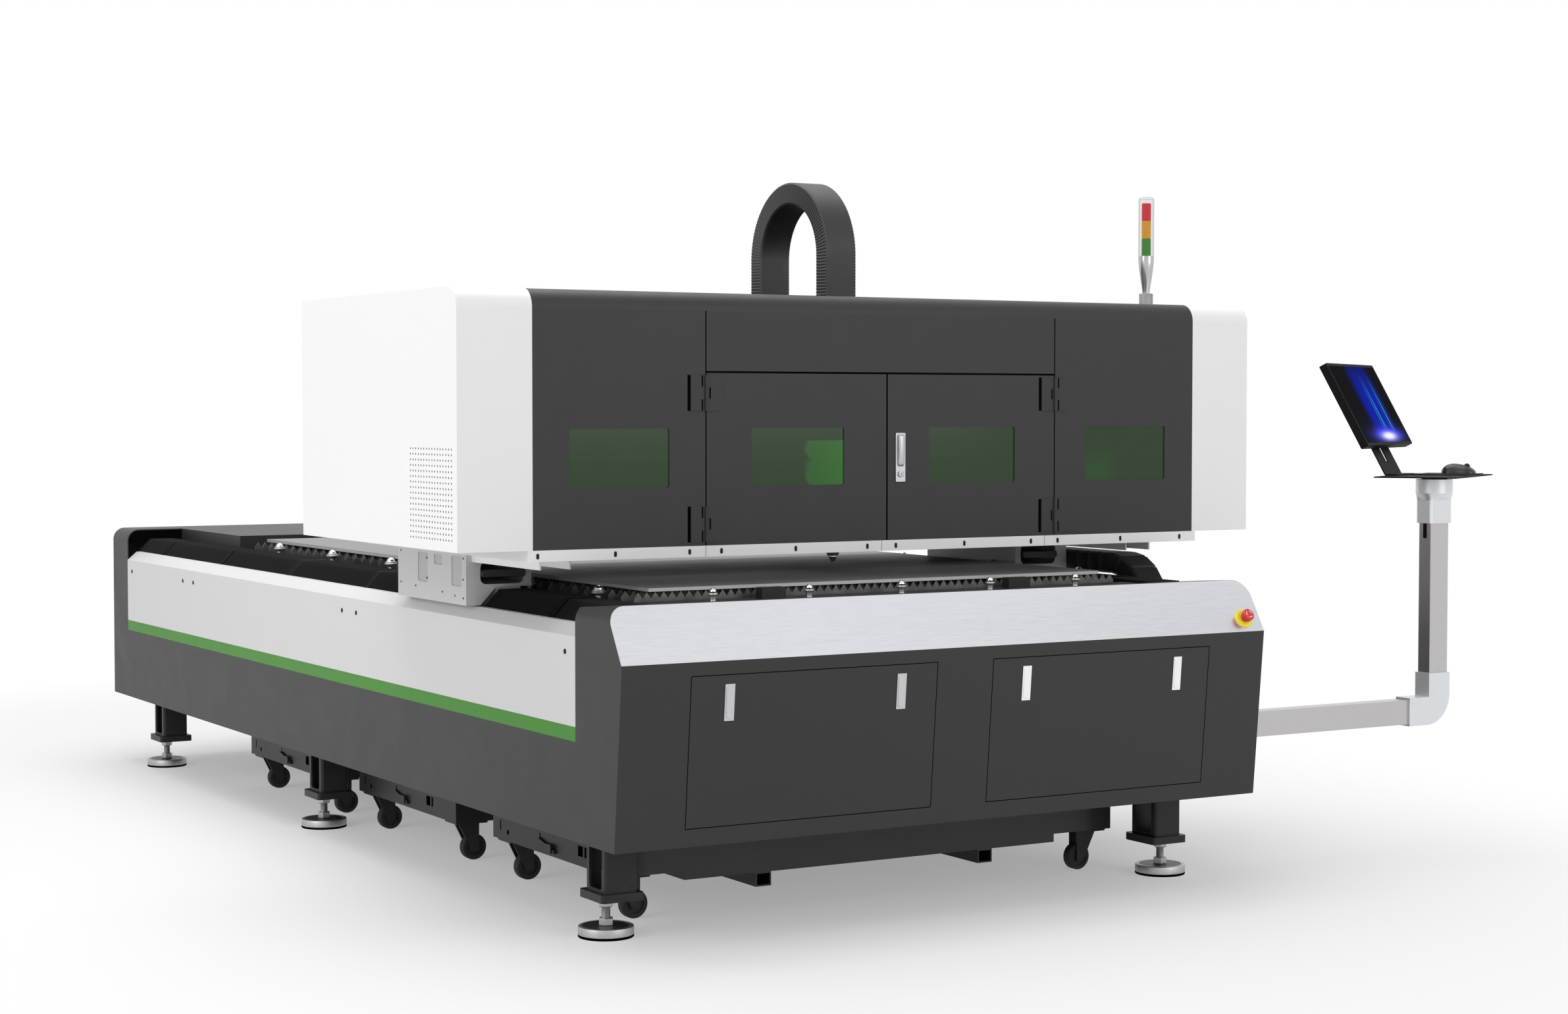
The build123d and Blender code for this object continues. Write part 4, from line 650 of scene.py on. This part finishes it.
def chain_rings(s, at, up, link):
    """Chamfered box section at each station, full over a link and drawn in at the joints between links."""
    phase = (s / link) % 1.0
    full = np.clip(np.minimum(phase, 1.0 - phase) / link_joint, 0.0, 1.0)
    shrink = 0.0035 * (1.0 - full)
    half_w = chain_half_w - shrink
    return banded(at, up, half_w - chain_cut, half_w, chain_half_t - shrink, chain_cut)


def link_stations(length, link):
    """Stations along a run, close together at each joint between links, and the length of one link."""
    marks = np.array([0.0, link_joint / 2, link_joint, 1.0 - link_joint, 1.0 - link_joint / 2])
    count = int(round(length / link))
    return np.r_[((np.arange(count)[:, None] + marks) / count).ravel(), 1.0] * length, length / count


def straight_chain(y0, y1, z):
    """Run of links along Y."""
    s, link = link_stations(y1 - y0, link_long)
    return chain_rings(s, spread(chain_x, y0 + s, z), np.tile([0.0, 0.0, 1.0], (len(s), 1)), link)


def bent_chain():
    """Half turn of links about the bend's centre; stations are angles."""
    s, link = link_stations(math.pi, math.pi / bend_links)
    way = np.stack([np.zeros_like(s), -np.sin(s), -np.cos(s)], -1)
    return chain_rings(s, bend_at + way * bend_r, way, link)


lower_run = piece("chain_lower_links", [carried(straight_chain(chain_front_y, chain_fixed_y, chain_low_z))],
                  black_plastic, None, replaces=["chain_fixed_run"])
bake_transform(lower_run)
upper_run = piece("chain_upper_links", [carried(straight_chain(chain_front_y, chain_free_y, chain_high_z))],
                  black_plastic, None, replaces=["chain_free_run"])
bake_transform(upper_run)
piece("chain_bend_links", [carried(bent_chain())], black_plastic, "chain_loop",
      replaces=["chain_bend"])


# Line hoop: smooth band with finely notched edges


def hoop_rings():
    """Band section carried up the front leg, round the top and down the rear leg, notched along its edges."""
    mid_r, front_low_z, rear_low_z = 0.1945, 1.480, 1.262
    centre = np.array([0.058, -1.268, 1.855])
    half_w, half_t, cut, notch_step = 0.0525, 0.0324, 0.005, 0.0045
    legs = (centre[2] - front_low_z, math.pi * mid_r, centre[2] - rear_low_z)
    rows = int(sum(legs) / notch_step)
    s = np.linspace(0.0, sum(legs), rows)
    turn = np.clip((s - legs[0]) / mid_r, 0.0, math.pi)
    out = np.stack([np.zeros_like(s), -np.cos(turn), np.sin(turn)], -1)
    at = centre + out * mid_r
    at[:, 2] += np.minimum(s - legs[0], 0.0) - np.maximum(s - legs[0] - legs[1], 0.0)
    notch = np.where(np.arange(rows) % 2, 0.0, 0.0016)
    return banded(at, out, half_w - cut, half_w - notch, half_t, cut)


piece("hoop_band", [carried(hoop_rings())], black_plastic, "head_slide",
      replaces=["line_hoop"])

# Levelling feet: rubber pad, plated disc with a dark top, threaded stud and nuts
feet = both_sides(0.932, (-1.910, 0.2027, 1.943))
pad = turned([(0, 0), (0.0735, 0), (0.075, 0.0015), (0.075, 0.0045), (0.0735, 0.006), (0, 0.006)], 40)
disc = turned([(0.0, 0.006), (0.073, 0.006), (0.075, 0.008), (0.075, 0.0262), (0.0738, 0.0288),
               (0.071, 0.030), (0.064, 0.030), (0.063, 0.0288), (0.0, 0.0288)], 48)
cup = turned([(0.0, 0.0288), (0.0625, 0.0288), (0.0625, 0.0296), (0.040, 0.0299), (0.030, 0.0300),
              (0.0, 0.0300)], 40)
thread_steps = 118
thread_z = np.linspace(0.030, 0.176, thread_steps)
thread_r = np.where(np.arange(thread_steps) % 2, 0.0120, 0.0110)
stud = turned(np.r_[[(0.0, 0.030)], np.c_[thread_r, thread_z], [(0.0095, 0.178), (0.0, 0.178)]], 16)


def hex_nut(z0, z1):
    """Six-sided nut: hexagon rings with eased corners at both ends, bored for the stud."""
    bore, face, corner, ease = 0.0122, 0.0190, 0.0207, 0.0018
    line = [(bore, z0), (face, z0), (corner, z0 + ease), (corner, z1 - ease), (face, z1), (bore, z1)]
    return turned(line, 6)


nuts = [hex_nut(0.030, 0.050), hex_nut(0.080, 0.100)]
piece("foot_pads", [repeated(pad, feet)], pad_rubber, "bed")
piece("foot_discs", [repeated(disc, feet)], satin_steel, "bed", replaces=["levelling_feet"])
piece("foot_cups", [repeated(cup, feet)], black_paint, "bed")
piece("foot_studs", [repeated(part, feet) for part in (stud, *nuts)], satin_steel, "bed")

# Signal tower: clear tube over three coloured lamps
tower = (1.207, -1.480, 0.0)
tube_line = [(0.0222, 1.885), (0.025, 1.885), (0.025, 2.062), (0.0243, 2.0660), (0.0222, 2.0695),
             (0.0185, 2.0715), (0.014, 2.072), (0.0, 2.072), (0.0, 2.066), (0.0222, 2.066), (0.0222, 1.885)]
piece("tower_tube", [turned(tube_line, 40, tower)], clear_tube(), "gantry", replaces=["tower_lamp"])
lamp_low_z, lamp_pitch, lamp_tall, lamp_ribs = 1.8852, 0.056, 0.0555, 23
for i, (tag, colour, power) in enumerate((("green", (0.055, 0.240, 0.030), 0.22),
                                          ("amber", (0.680, 0.300, 0.020), 0.34),
                                          ("red", (0.600, 0.020, 0.030), 0.32))):
    z0 = lamp_low_z + i * lamp_pitch
    z1 = z0 + lamp_tall
    rib_z = np.linspace(z0 + 0.001, z1 - 0.001, lamp_ribs)
    rib_r = np.where(np.arange(lamp_ribs) % 2, 0.0150, 0.0143)
    line = np.r_[[(0.0, z0), (0.0135, z0)], np.c_[rib_r, rib_z], [(0.0135, z1), (0.0, z1)]]
    lamp_finish = lamp_glass("lamp_" + tag, colour, power)
    piece("tower_lamp_" + tag, [turned(line, 28, tower)], lamp_finish, "gantry")

# Screen: lit panel let into the monitor's front
swing, lean = math.radians(32.0), math.radians(28.0)
console_at = np.array([1.978, -1.975, 1.1843])
console_turn = np.array([[math.cos(swing), -math.sin(swing), 0], [math.sin(swing), math.cos(swing), 0],
                         [0, 0, 1]])
screen_at = (0, 0.128, 0.004)
screen_turn = np.array([[1, 0, 0], [0, math.sin(lean), -math.cos(lean)],
                        [0, math.cos(lean), math.sin(lean)]])
screen_half_w, screen_half_h, screen_mid, screen_out = 0.266, 0.137, 0.237, 0.0355


def on_console(shell):
    """A shell drawn on the console, turned with it and set on its post."""
    return moved(shell, console_turn, console_at)


glass = moved(slab(screen_half_w, screen_half_h, 0.0008, 0.002, 0.0002), None, (0, screen_mid, screen_out))
lit = piece("screen_panel", [on_console(moved(glass, screen_turn, screen_at))], screen_glow(), "display")
face = lit.data.uv_layers.new(name="face")
corners = np.empty(len(lit.data.loops), np.int32)
lit.data.loops.foreach_get("vertex_index", corners)
flat = ((points_of(lit) - console_at) @ console_turn - screen_at) @ screen_turn
uv = np.stack([flat[:, 0] / screen_half_w, (flat[:, 1] - screen_mid) / screen_half_h], -1) / 2 + 0.5
face.data.foreach_set("uv", uv[corners].astype(np.float32).ravel())


# Loading balls: stem, flanged cup and a polished ball, smaller along the front than along the sides


def dome(radius, base, steps=7):
    """Quarter circle from the ball's widest point to its top."""
    a = np.linspace(0.0, np.pi / 2, steps)
    return np.c_[radius * np.cos(a), base + radius * np.sin(a)]


front_cup = [(0.0, 0.880), (0.0088, 0.880), (0.0080, 0.884), (0.0100, 0.8935), (0.0136, 0.8962),
             (0.0140, 0.8975), (0.0140, 0.9005), (0.0132, 0.9018), (0.0108, 0.9024), (0.0100, 0.9010),
             (0.0, 0.9010)]
side_cup = [(0.0, 0.790), (0.0090, 0.790), (0.0090, 0.886), (0.0125, 0.890), (0.0194, 0.8922),
            (0.0200, 0.8940), (0.0200, 0.8975), (0.0188, 0.8990), (0.0162, 0.8992), (0.0162, 0.9026),
            (0.0150, 0.9040), (0.0130, 0.9040), (0.0, 0.9020)]
front_ball = np.r_[[(0.0, 0.9015)], dome(0.0098, 0.9062)]
side_ball = np.r_[[(0.0, 0.9025)], dome(0.0125, 0.9035)]
front_places = spread(np.arange(-2, 3) * 0.304, -1.912, 0.0)
side_places = both_sides(0.820, np.r_[0.940 - np.arange(5) * 0.533, -1.645])
for name, front, side, finish, stood in (("ball_cups", front_cup, side_cup, satin_steel, ["ball_units"]),
                                         ("ball_tops", front_ball, side_ball, chrome, [])):
    shells = [repeated(turned(front, 28), front_places), repeated(turned(side, 32), side_places)]
    piece(name, shells, finish, "bed", replaces=stood)

# Ventilation holes in the hood's white ends: a field of small round holes
hood_end_x, cover_x, carriage_x, slot_x = 1.322, 1.050, 1.052, 1.0478
hole = turned([(0.0, 0.00002), (0.0029, 0.00002), (0.0030, 0.0), (0.0, -0.0004)], 10)
hole_y, hole_z = np.meshgrid(np.linspace(-1.800, -1.522, 16), np.linspace(1.056, 1.294, 17))
on_both_hands("vent_holes", [(hole, hole_y, hole_z)], hood_end_x, hole_dark, "gantry")

# Screws: low black caps on the side covers, ovals on the hood trim, small dots on the carriages
hood_y = -1.8360
cap = turned([(0.0, -0.0005), (0.0072, -0.0005), (0.0075, 0.0004), (0.0069, 0.0013), (0.0050, 0.0019),
              (0.0, 0.0021)], 18)
cap_y, cap_z = np.array([1.991, 1.345, 1.223, -0.287, -0.409, -1.910]), 0.764
on_both_hands("cover_screws", [(cap, cap_y, cap_z)], cover_x, screw_black, "bed")
oval = slab(0.0042, 0.0078, 0.0012, 0.0041, 0.0004)
oval_x = np.array([-1.093, -0.864, -0.638, -0.539, -0.302, -0.066,
                   0.030, 0.266, 0.503, 0.600, 0.833, 1.059])
ovals = repeated(oval, spread(oval_x, hood_y + 0.0002, 1.0105), to_front)
piece("trim_screws", [ovals], screw_black, "gantry")
dot = turned([(0.0, -0.0004), (0.0034, -0.0004), (0.0032, 0.0007), (0.0, 0.0010)], 10)
dot_y = np.array([-1.250, -1.250, -1.250, -1.190, -1.100, -0.985, -0.985, -0.900, -0.785, -0.785])
dot_z = np.array([0.862, 0.915, 0.975, 0.866, 0.872, 0.906, 0.965, 0.878, 0.884, 0.978])
on_both_hands("carriage_screws", [(dot, dot_y, dot_z)], carriage_x, screw_black, "gantry")

# Plates a little way down the carriage slots
long_plate = slab(0.04295, 0.03695, 0.002, 0.0079, 0.0002)
short_plate = slab(0.01545, 0.02995, 0.002, 0.0079, 0.0002)
slot_plates = [(long_plate, -0.9536, 0.937), (short_plate, -1.0682, 0.9645), (long_plate, -1.2026, 0.937)]
on_both_hands("slot_plates", slot_plates, slot_x, slot_grey, "gantry")

# Seams of the hood trim: hair-thin dark joints
strip_y = hood_y + 0.0001
seam = slab(0.0006, 0.0148, 0.0003, 0.0002, 0.0001)
seams = repeated(seam, spread([-0.588, -0.018, 0.552], strip_y, 1.011), to_front)
piece("trim_seams", [seams], hole_dark, "gantry")

# Switch bars in the carriage mouths
bar = slab(0.068, 0.011, 0.020, 0.008, 0.002)
bars = repeated(bar, spread([-0.940, 0.940], -1.2625, 0.932), to_front)
piece("switch_bars", [bars], black_plastic, "gantry")

# Hood lock: silver back plate with a key barrel, and the lever that swings out of it
lock_x, key_z = 0.044, 1.214
key_line = [(0.0, 0.0), (0.0088, 0.0), (0.0088, 0.0044), (0.0078, 0.0050), (0.0062, 0.0050),
            (0.0058, 0.0042), (0.0, 0.0042)]
lock_plate = moved(slab(0.0163, 0.0698, 0.0033, 0.0022, 0.0006), to_front, (lock_x, hood_y, 1.2615))
key_rim = moved(turned(key_line, 28), to_front, (lock_x, hood_y - 0.0031, key_z))
keyway = moved(slab(0.0009, 0.0034, 0.0004, 0.0004, 0.0001), to_front, (lock_x, hood_y - 0.0072, key_z))
piece("lock_plate", [lock_plate, key_rim], lock_metal, "hood_right")
piece("lock_keyway", [keyway], hole_dark, "hood_right")


def lever_rings():
    """Lever: a rounded bar whose thickness swells towards its free upper end, like a flat finger."""
    low_z, tall, half_w = 1.2362, 0.0905, 0.0104
    t = np.linspace(0.0, 1.0, 25)
    a = np.linspace(0.0, np.pi, 11)
    ease = np.minimum(1.0, np.minimum(t, 1.0 - t) / 0.06) ** 0.5
    half = half_w * (0.72 + 0.28 * ease)
    thick = (0.0055 + 0.0040 * np.sin(np.pi * t * 0.8)) * (0.55 + 0.45 * ease)
    wide = half[:, None] * np.sign(np.cos(a)) * np.abs(np.cos(a)) ** 0.5
    out = thick[:, None] * np.sin(a) ** 0.6
    z = np.broadcast_to((low_z + t * tall)[:, None], wide.shape)
    return np.stack([lock_x + wide, hood_y - 0.0033 - out, z], -1)


piece("lock_lever", [carried(lever_rings())], lock_metal, "handle", replaces=["hood_handle"])

# Front latches: bevelled plate, raised paddle and a round thumb tab at its lower end
front_in, front_rise = 0.044, 0.4825
front_run = math.hypot(front_in, front_rise)
front_turn = np.array([[1, 0, 0], [0, -front_in / front_run, -front_rise / front_run],
                       [0, front_rise / front_run, -front_in / front_run]])
front_toe = np.array([0, -2.195, 0.270])
front_door_x, latch_half_gap, latch_up = 0.470, 0.264, 0.3743
latch_plate = moved(slab(0.0145, 0.0485, 0.0020, 0.0016, 0.0005), None, (0, 0, 0.0003))
paddle = moved(slab(0.0106, 0.0330, 0.0017, 0.0030, 0.0006), None, (0, 0.0090, 0.0022))
tab = moved(slab(0.0098, 0.0125, 0.0019, 0.0090, 0.0007), None, (0, -0.0310, 0.0022))
for (side, hand), finish in zip(hands, (bright_metal, polished_metal)):
    spots = spread(side * front_door_x + np.array([-latch_half_gap, latch_half_gap]), 0.0, 0.0)
    spots = spots + front_turn @ [0, latch_up, 0] + front_toe
    shells = [repeated(part, spots, front_turn) for part in (latch_plate, paddle, tab)]
    piece("latch_paddles_" + hand, shells, finish, "latch_" + hand,
          replaces=["front_latches_" + hand])


# Signal tower foot: satin ring and a plated neck that flares like a bottle
ring_low_z, neck_low_z, neck_tall = 1.718, 1.766, 0.119


def flare(steps=22):
    """Neck radius against height: narrow at the foot, an S-shaped swell to the tube's width."""
    t = np.linspace(0.0, 1.0, steps)
    return np.c_[0.0118 + 0.0132 * (t ** 1.5 * (2.5 - 1.5 * t)), neck_low_z + neck_tall * t]


ring_line = [(0.0, ring_low_z), (0.0218, ring_low_z), (0.022, 1.7185), (0.022, 1.7645),
             (0.0210, neck_low_z), (0.0, neck_low_z)]
neck_line = np.r_[[(0.0, neck_low_z)], flare(), [(0.0, neck_low_z + neck_tall)]]
piece("tower_ring", [turned(ring_line, 40, tower)], collar_grey, "gantry", replaces=["tower_base"])
piece("tower_neck", [turned(neck_line, 40, tower)], neck_metal, "gantry")

# Nozzle: ceramic ring and plated tip under the cutting head
head_at = (0.055, -1.450, 0.0)
ceramic_line = [(0.0180, 0.985), (0.0262, 0.985), (0.0272, 0.9875), (0.0272, 0.9965), (0.0262, 0.999),
                (0.0180, 0.999), (0.0180, 0.985)]
tip_line = [(0.0, 0.9432), (0.0044, 0.9432), (0.0062, 0.9470), (0.0128, 0.9590), (0.0150, 0.9595),
            (0.0150, 0.9640), (0.0, 0.9640)]
piece("nozzle_ceramic", [turned(ceramic_line, 32, head_at)], ceramic, "head")
piece("nozzle_tip", [turned(tip_line, 32, head_at)], chrome, "head")


# Mouse: smooth shell in place of the plain block, and its wheel
mouse_at = np.array([0.160, -0.040, 0.0071])


def mouse_shell():
    """Half egg: width and height shrink towards both ends by powers of an ellipse; the back stands higher."""
    half_w, half_len, tall = 0.0308, 0.0555, 0.0305
    u = np.linspace(-1.0, 1.0, 33)
    a = np.linspace(0.0, np.pi, 21)
    body = (1.0 - np.abs(u) ** 3.2).clip(0.0) ** 0.42
    crown = (1.0 - np.abs(u) ** 2.4).clip(0.0) ** 0.55 * (1.0 - 0.22 * u)
    waist = 1.0 - 0.07 * np.cos(u * 3.4)
    wide = half_w * (body * waist)[:, None] * np.sign(np.cos(a)) * np.abs(np.cos(a)) ** 0.75
    high = tall * crown[:, None] * np.sin(a) ** 0.85
    along = np.broadcast_to(-u[:, None] * half_len, wide.shape)
    return carried(np.stack([wide, along, high], -1))


wheel_line = [(0.0, -0.003), (0.0088, -0.003), (0.0098, -0.0015), (0.0098, 0.0015), (0.0088, 0.003),
              (0.0, 0.003)]
wheel_ring = moved(turned(wheel_line, 24), outwards["right"], mouse_at + [0, -0.026, 0.0225])
piece("mouse_shell", [on_console(moved(mouse_shell(), None, mouse_at))], mouse_plastic, "console",
      replaces=["mouse"])
piece("mouse_wheel", [on_console(wheel_ring)], wheel_rubber, "console")


# Door seams: dark joints round the hood doors, the header and the front doors, and painted shadow beside the
# hood hinges
hinge_rows, hinge_tall = (1.085, 1.443), 0.098
slit_wide, slit_tall, slit_out = 0.0044, 0.031, 0.0031
door_edge_x, header_z = 0.587, 1.5004
post_slit_x, door_slit_x = 0.5995, 0.5755
post_shade_x, door_shade_x = -0.6395, 0.5345


def joint_strip(wide, tall):
    """Thin dark strip that lies over a joint."""
    return slab(wide / 2, tall / 2, 0.0003, 0.0002, 0.0001)


def hood_strip(x, z, wide, tall, out=0.0):
    """Joint strip on the hood's front face, about its middle, or that far out from the face."""
    return moved(joint_strip(wide, tall), to_front, (x, strip_y - out, z))


def hinge_slit(x, z):
    """Dark slit between a hinge's knuckles."""
    return hood_strip(x, z, slit_wide, slit_tall, slit_out)


def hinge_shade(x):
    """Painted shadow: dark strips beside a door's two hinges, where the shaded sides of the hinge leaves
    show.
    """
    return [hood_strip(x, z, 0.0095, hinge_tall) for z in hinge_rows]


shells = [hood_strip(0.0, header_z, 2 * door_edge_x, 0.0056)]
shells += [hood_strip(side * door_edge_x, 1.3465, 0.0036, 0.640) for side in (-1, 1)]
# Painted shadow beside the hinges on the frame side.
shells += hinge_shade(post_shade_x)
shells += [hinge_slit(side * post_slit_x, z + step * hinge_tall / 3)
           for z in hinge_rows for side in (-1, 1) for step in (-1, 1)]
piece("hood_joints_and_shadows", shells, joint_and_shadow_dark, "gantry")
for side, hand in hands:
    shells = [hinge_slit(side * door_slit_x, z) for z in hinge_rows]
    piece("hinge_slits_" + hand, shells, joint_and_shadow_dark, "hood_" + hand)
piece("door_joint", [hood_strip(-0.0004, 1.2635, 0.0050, 0.472)], joint_and_shadow_dark, "hood_left")
piece("hinge_shadow", hinge_shade(door_shade_x), joint_and_shadow_dark, "hood_right")


def front_strip(x, up, wide, tall):
    """Joint strip on the sloping front, about its middle; up runs along the slope from the toe."""
    return moved(moved(joint_strip(wide, tall), None, (x, up, -0.0001)), front_turn, front_toe)


front_gap, front_wide, front_tall, front_mid = 0.0024, 0.7592, 0.4003, 0.24755
shells = []
for side in (-1, 1):
    shells += [front_strip(side * x, front_mid, front_gap, front_tall) for x in (0.0916, 0.8484)]
    shells += [front_strip(side * front_door_x, up, front_wide, front_gap) for up in (0.0478, 0.4473)]
piece("front_joints", shells, joint_and_shadow_dark, "bed")


# Stop button: three turning arrows on its face


def arrow_rings(start):
    """Arrow bent round a circle: a narrow band, then a head that is wide at its root and runs to a point."""
    radius, sweep, neck, thick = 0.0100, 1.45, 0.62, 0.0003
    t = np.r_[np.linspace(0.0, neck, 9), np.linspace(neck + 0.0001, 1.0, 6)]
    half = np.where(t <= neck, 0.0008, 0.0022 * (1.0 - t) / (1.0 - neck) + 0.00005)
    angle = start + t * sweep
    ring = np.stack([np.cos(angle), np.sin(angle)], -1)
    edges = [(1, 0.0), (1, thick), (-1, thick), (-1, 0.0)]
    rings = [np.c_[ring * (radius + sign * half)[:, None], np.full(len(t), high)] for sign, high in edges]
    return np.stack(rings, 1)


press = next(j for j in frame["record"]["behaviour"]["joints"] if j["name"] == "stop_press")
out_way = -np.asarray(press["axis"], float) / np.linalg.norm(press["axis"])
button_turn = np.stack([x_way, np.cross(out_way, x_way), out_way], -1)
flat = points_of(nodes["stop_button"]).astype(float) @ button_turn
face_at = button_turn @ [*(flat[:, :2].min(0) + flat[:, :2].max(0)) / 2, flat[:, 2].max()]
starts = np.arange(3) * 2.0 * np.pi / 3
arrows = [moved(carried(arrow_rings(start)), button_turn, face_at) for start in starts]
piece("stop_arrows", arrows, mark_white, "stop")


# Stage: pale floor, white surround, soft lamps, camera


def seen_rays(f):
    """1 for the rays of the camera, of gloss and of glass, 0 for the rest."""
    rays = ("Is Camera Ray", "Is Glossy Ray", "Is Transmission Ray")
    camera, gloss, glass = f.outs(f.node("LightPath"), rays)
    return camera.most(gloss).most(glass)


def stage_floor():
    """Large pale floor that keeps the shadow and runs out to white for the camera."""
    mesh = bpy.data.meshes.new("floor")
    reach = 60.0
    mesh.from_pydata([(-reach, -reach, 0), (reach, -reach, 0), (reach, reach, 0), (-reach, reach, 0)], [],
                     [(0, 1, 2, 3)])
    floor = bpy.data.objects.new("floor", mesh)
    bpy.context.scene.collection.objects.link(floor)
    f = Finish("floor_white")
    plain = f.node("BsdfDiffuse", None, {"Color": (0.82, 0.82, 0.82, 1.0)})
    white = f.node("Emission", None, {"Color": (1.0, 1.0, 1.0, 1.0), "Strength": 1.0})
    x, y, _ = f.xyz()
    far = ((x * x) / 18.0 + (y * y) / 48.0).rise(0.05, 0.64)
    both = f.node("MixShader", None, {0: seen_rays(f) * (0.33 + far * 0.67), 1: plain, 2: white})
    f.node("OutputMaterial", None, {"Surface": both})
    mesh.materials.append(f.block)


def surround():
    """White to the camera, to gloss and to glass; a plain grey light to everything else."""
    f = Finish("surround", "worlds")
    level = f.node("MapRange", None, {"Value": seen_rays(f), "To Min": 0.50, "To Max": 1.0})
    back = f.node("Background", None, {"Color": (1.0, 1.0, 1.0, 1.0), "Strength": level})
    f.node("OutputWorld", None, {"Surface": back})
    bpy.context.scene.world = f.block


def lamp(name, place, aim, size, power):
    """Square area lamp whose -Z is turned to a point."""
    data = bpy.data.lights.new(name, "AREA")
    data.size = size
    data.energy = power
    made = bpy.data.objects.new(name, data)
    bpy.context.scene.collection.objects.link(made)
    made.location = place
    way = np.subtract(aim, place)
    tilt = math.atan2(way[2], math.hypot(way[0], way[1]))
    made.rotation_euler = (math.pi / 2 + tilt, 0, math.atan2(way[1], way[0]) - math.pi / 2)


stage_floor()
surround()
lamp("top_lamp", (-0.5, 0.5, 6.5), (0.0, 0.0, 0.5), 6.0, 330.0)
lamp("left_lamp", (-7.0, -2.5, 3.6), (-0.5, -0.3, 0.8), 4.0, 138.0)
lamp("front_lamp", (2.5, -8.0, 3.2), (0.2, -1.5, 0.8), 4.0, 98.0)

camera_dip, camera_swing = 2.16, -30.41
eye = bpy.data.cameras.new("camera")
eye.lens = 60.0
eye.sensor_width = 36.0
eye.sensor_fit = "HORIZONTAL"
eye.clip_end = 200.0
camera = bpy.data.objects.new("camera", eye)
bpy.context.scene.collection.objects.link(camera)
camera.location = (-4.0157, -8.0985, 1.4009)
camera.rotation_euler = (math.radians(90.0 - camera_dip), 0.0, math.radians(camera_swing))
bpy.context.scene.camera = camera
bpy.context.scene.view_settings.view_transform = "Standard"
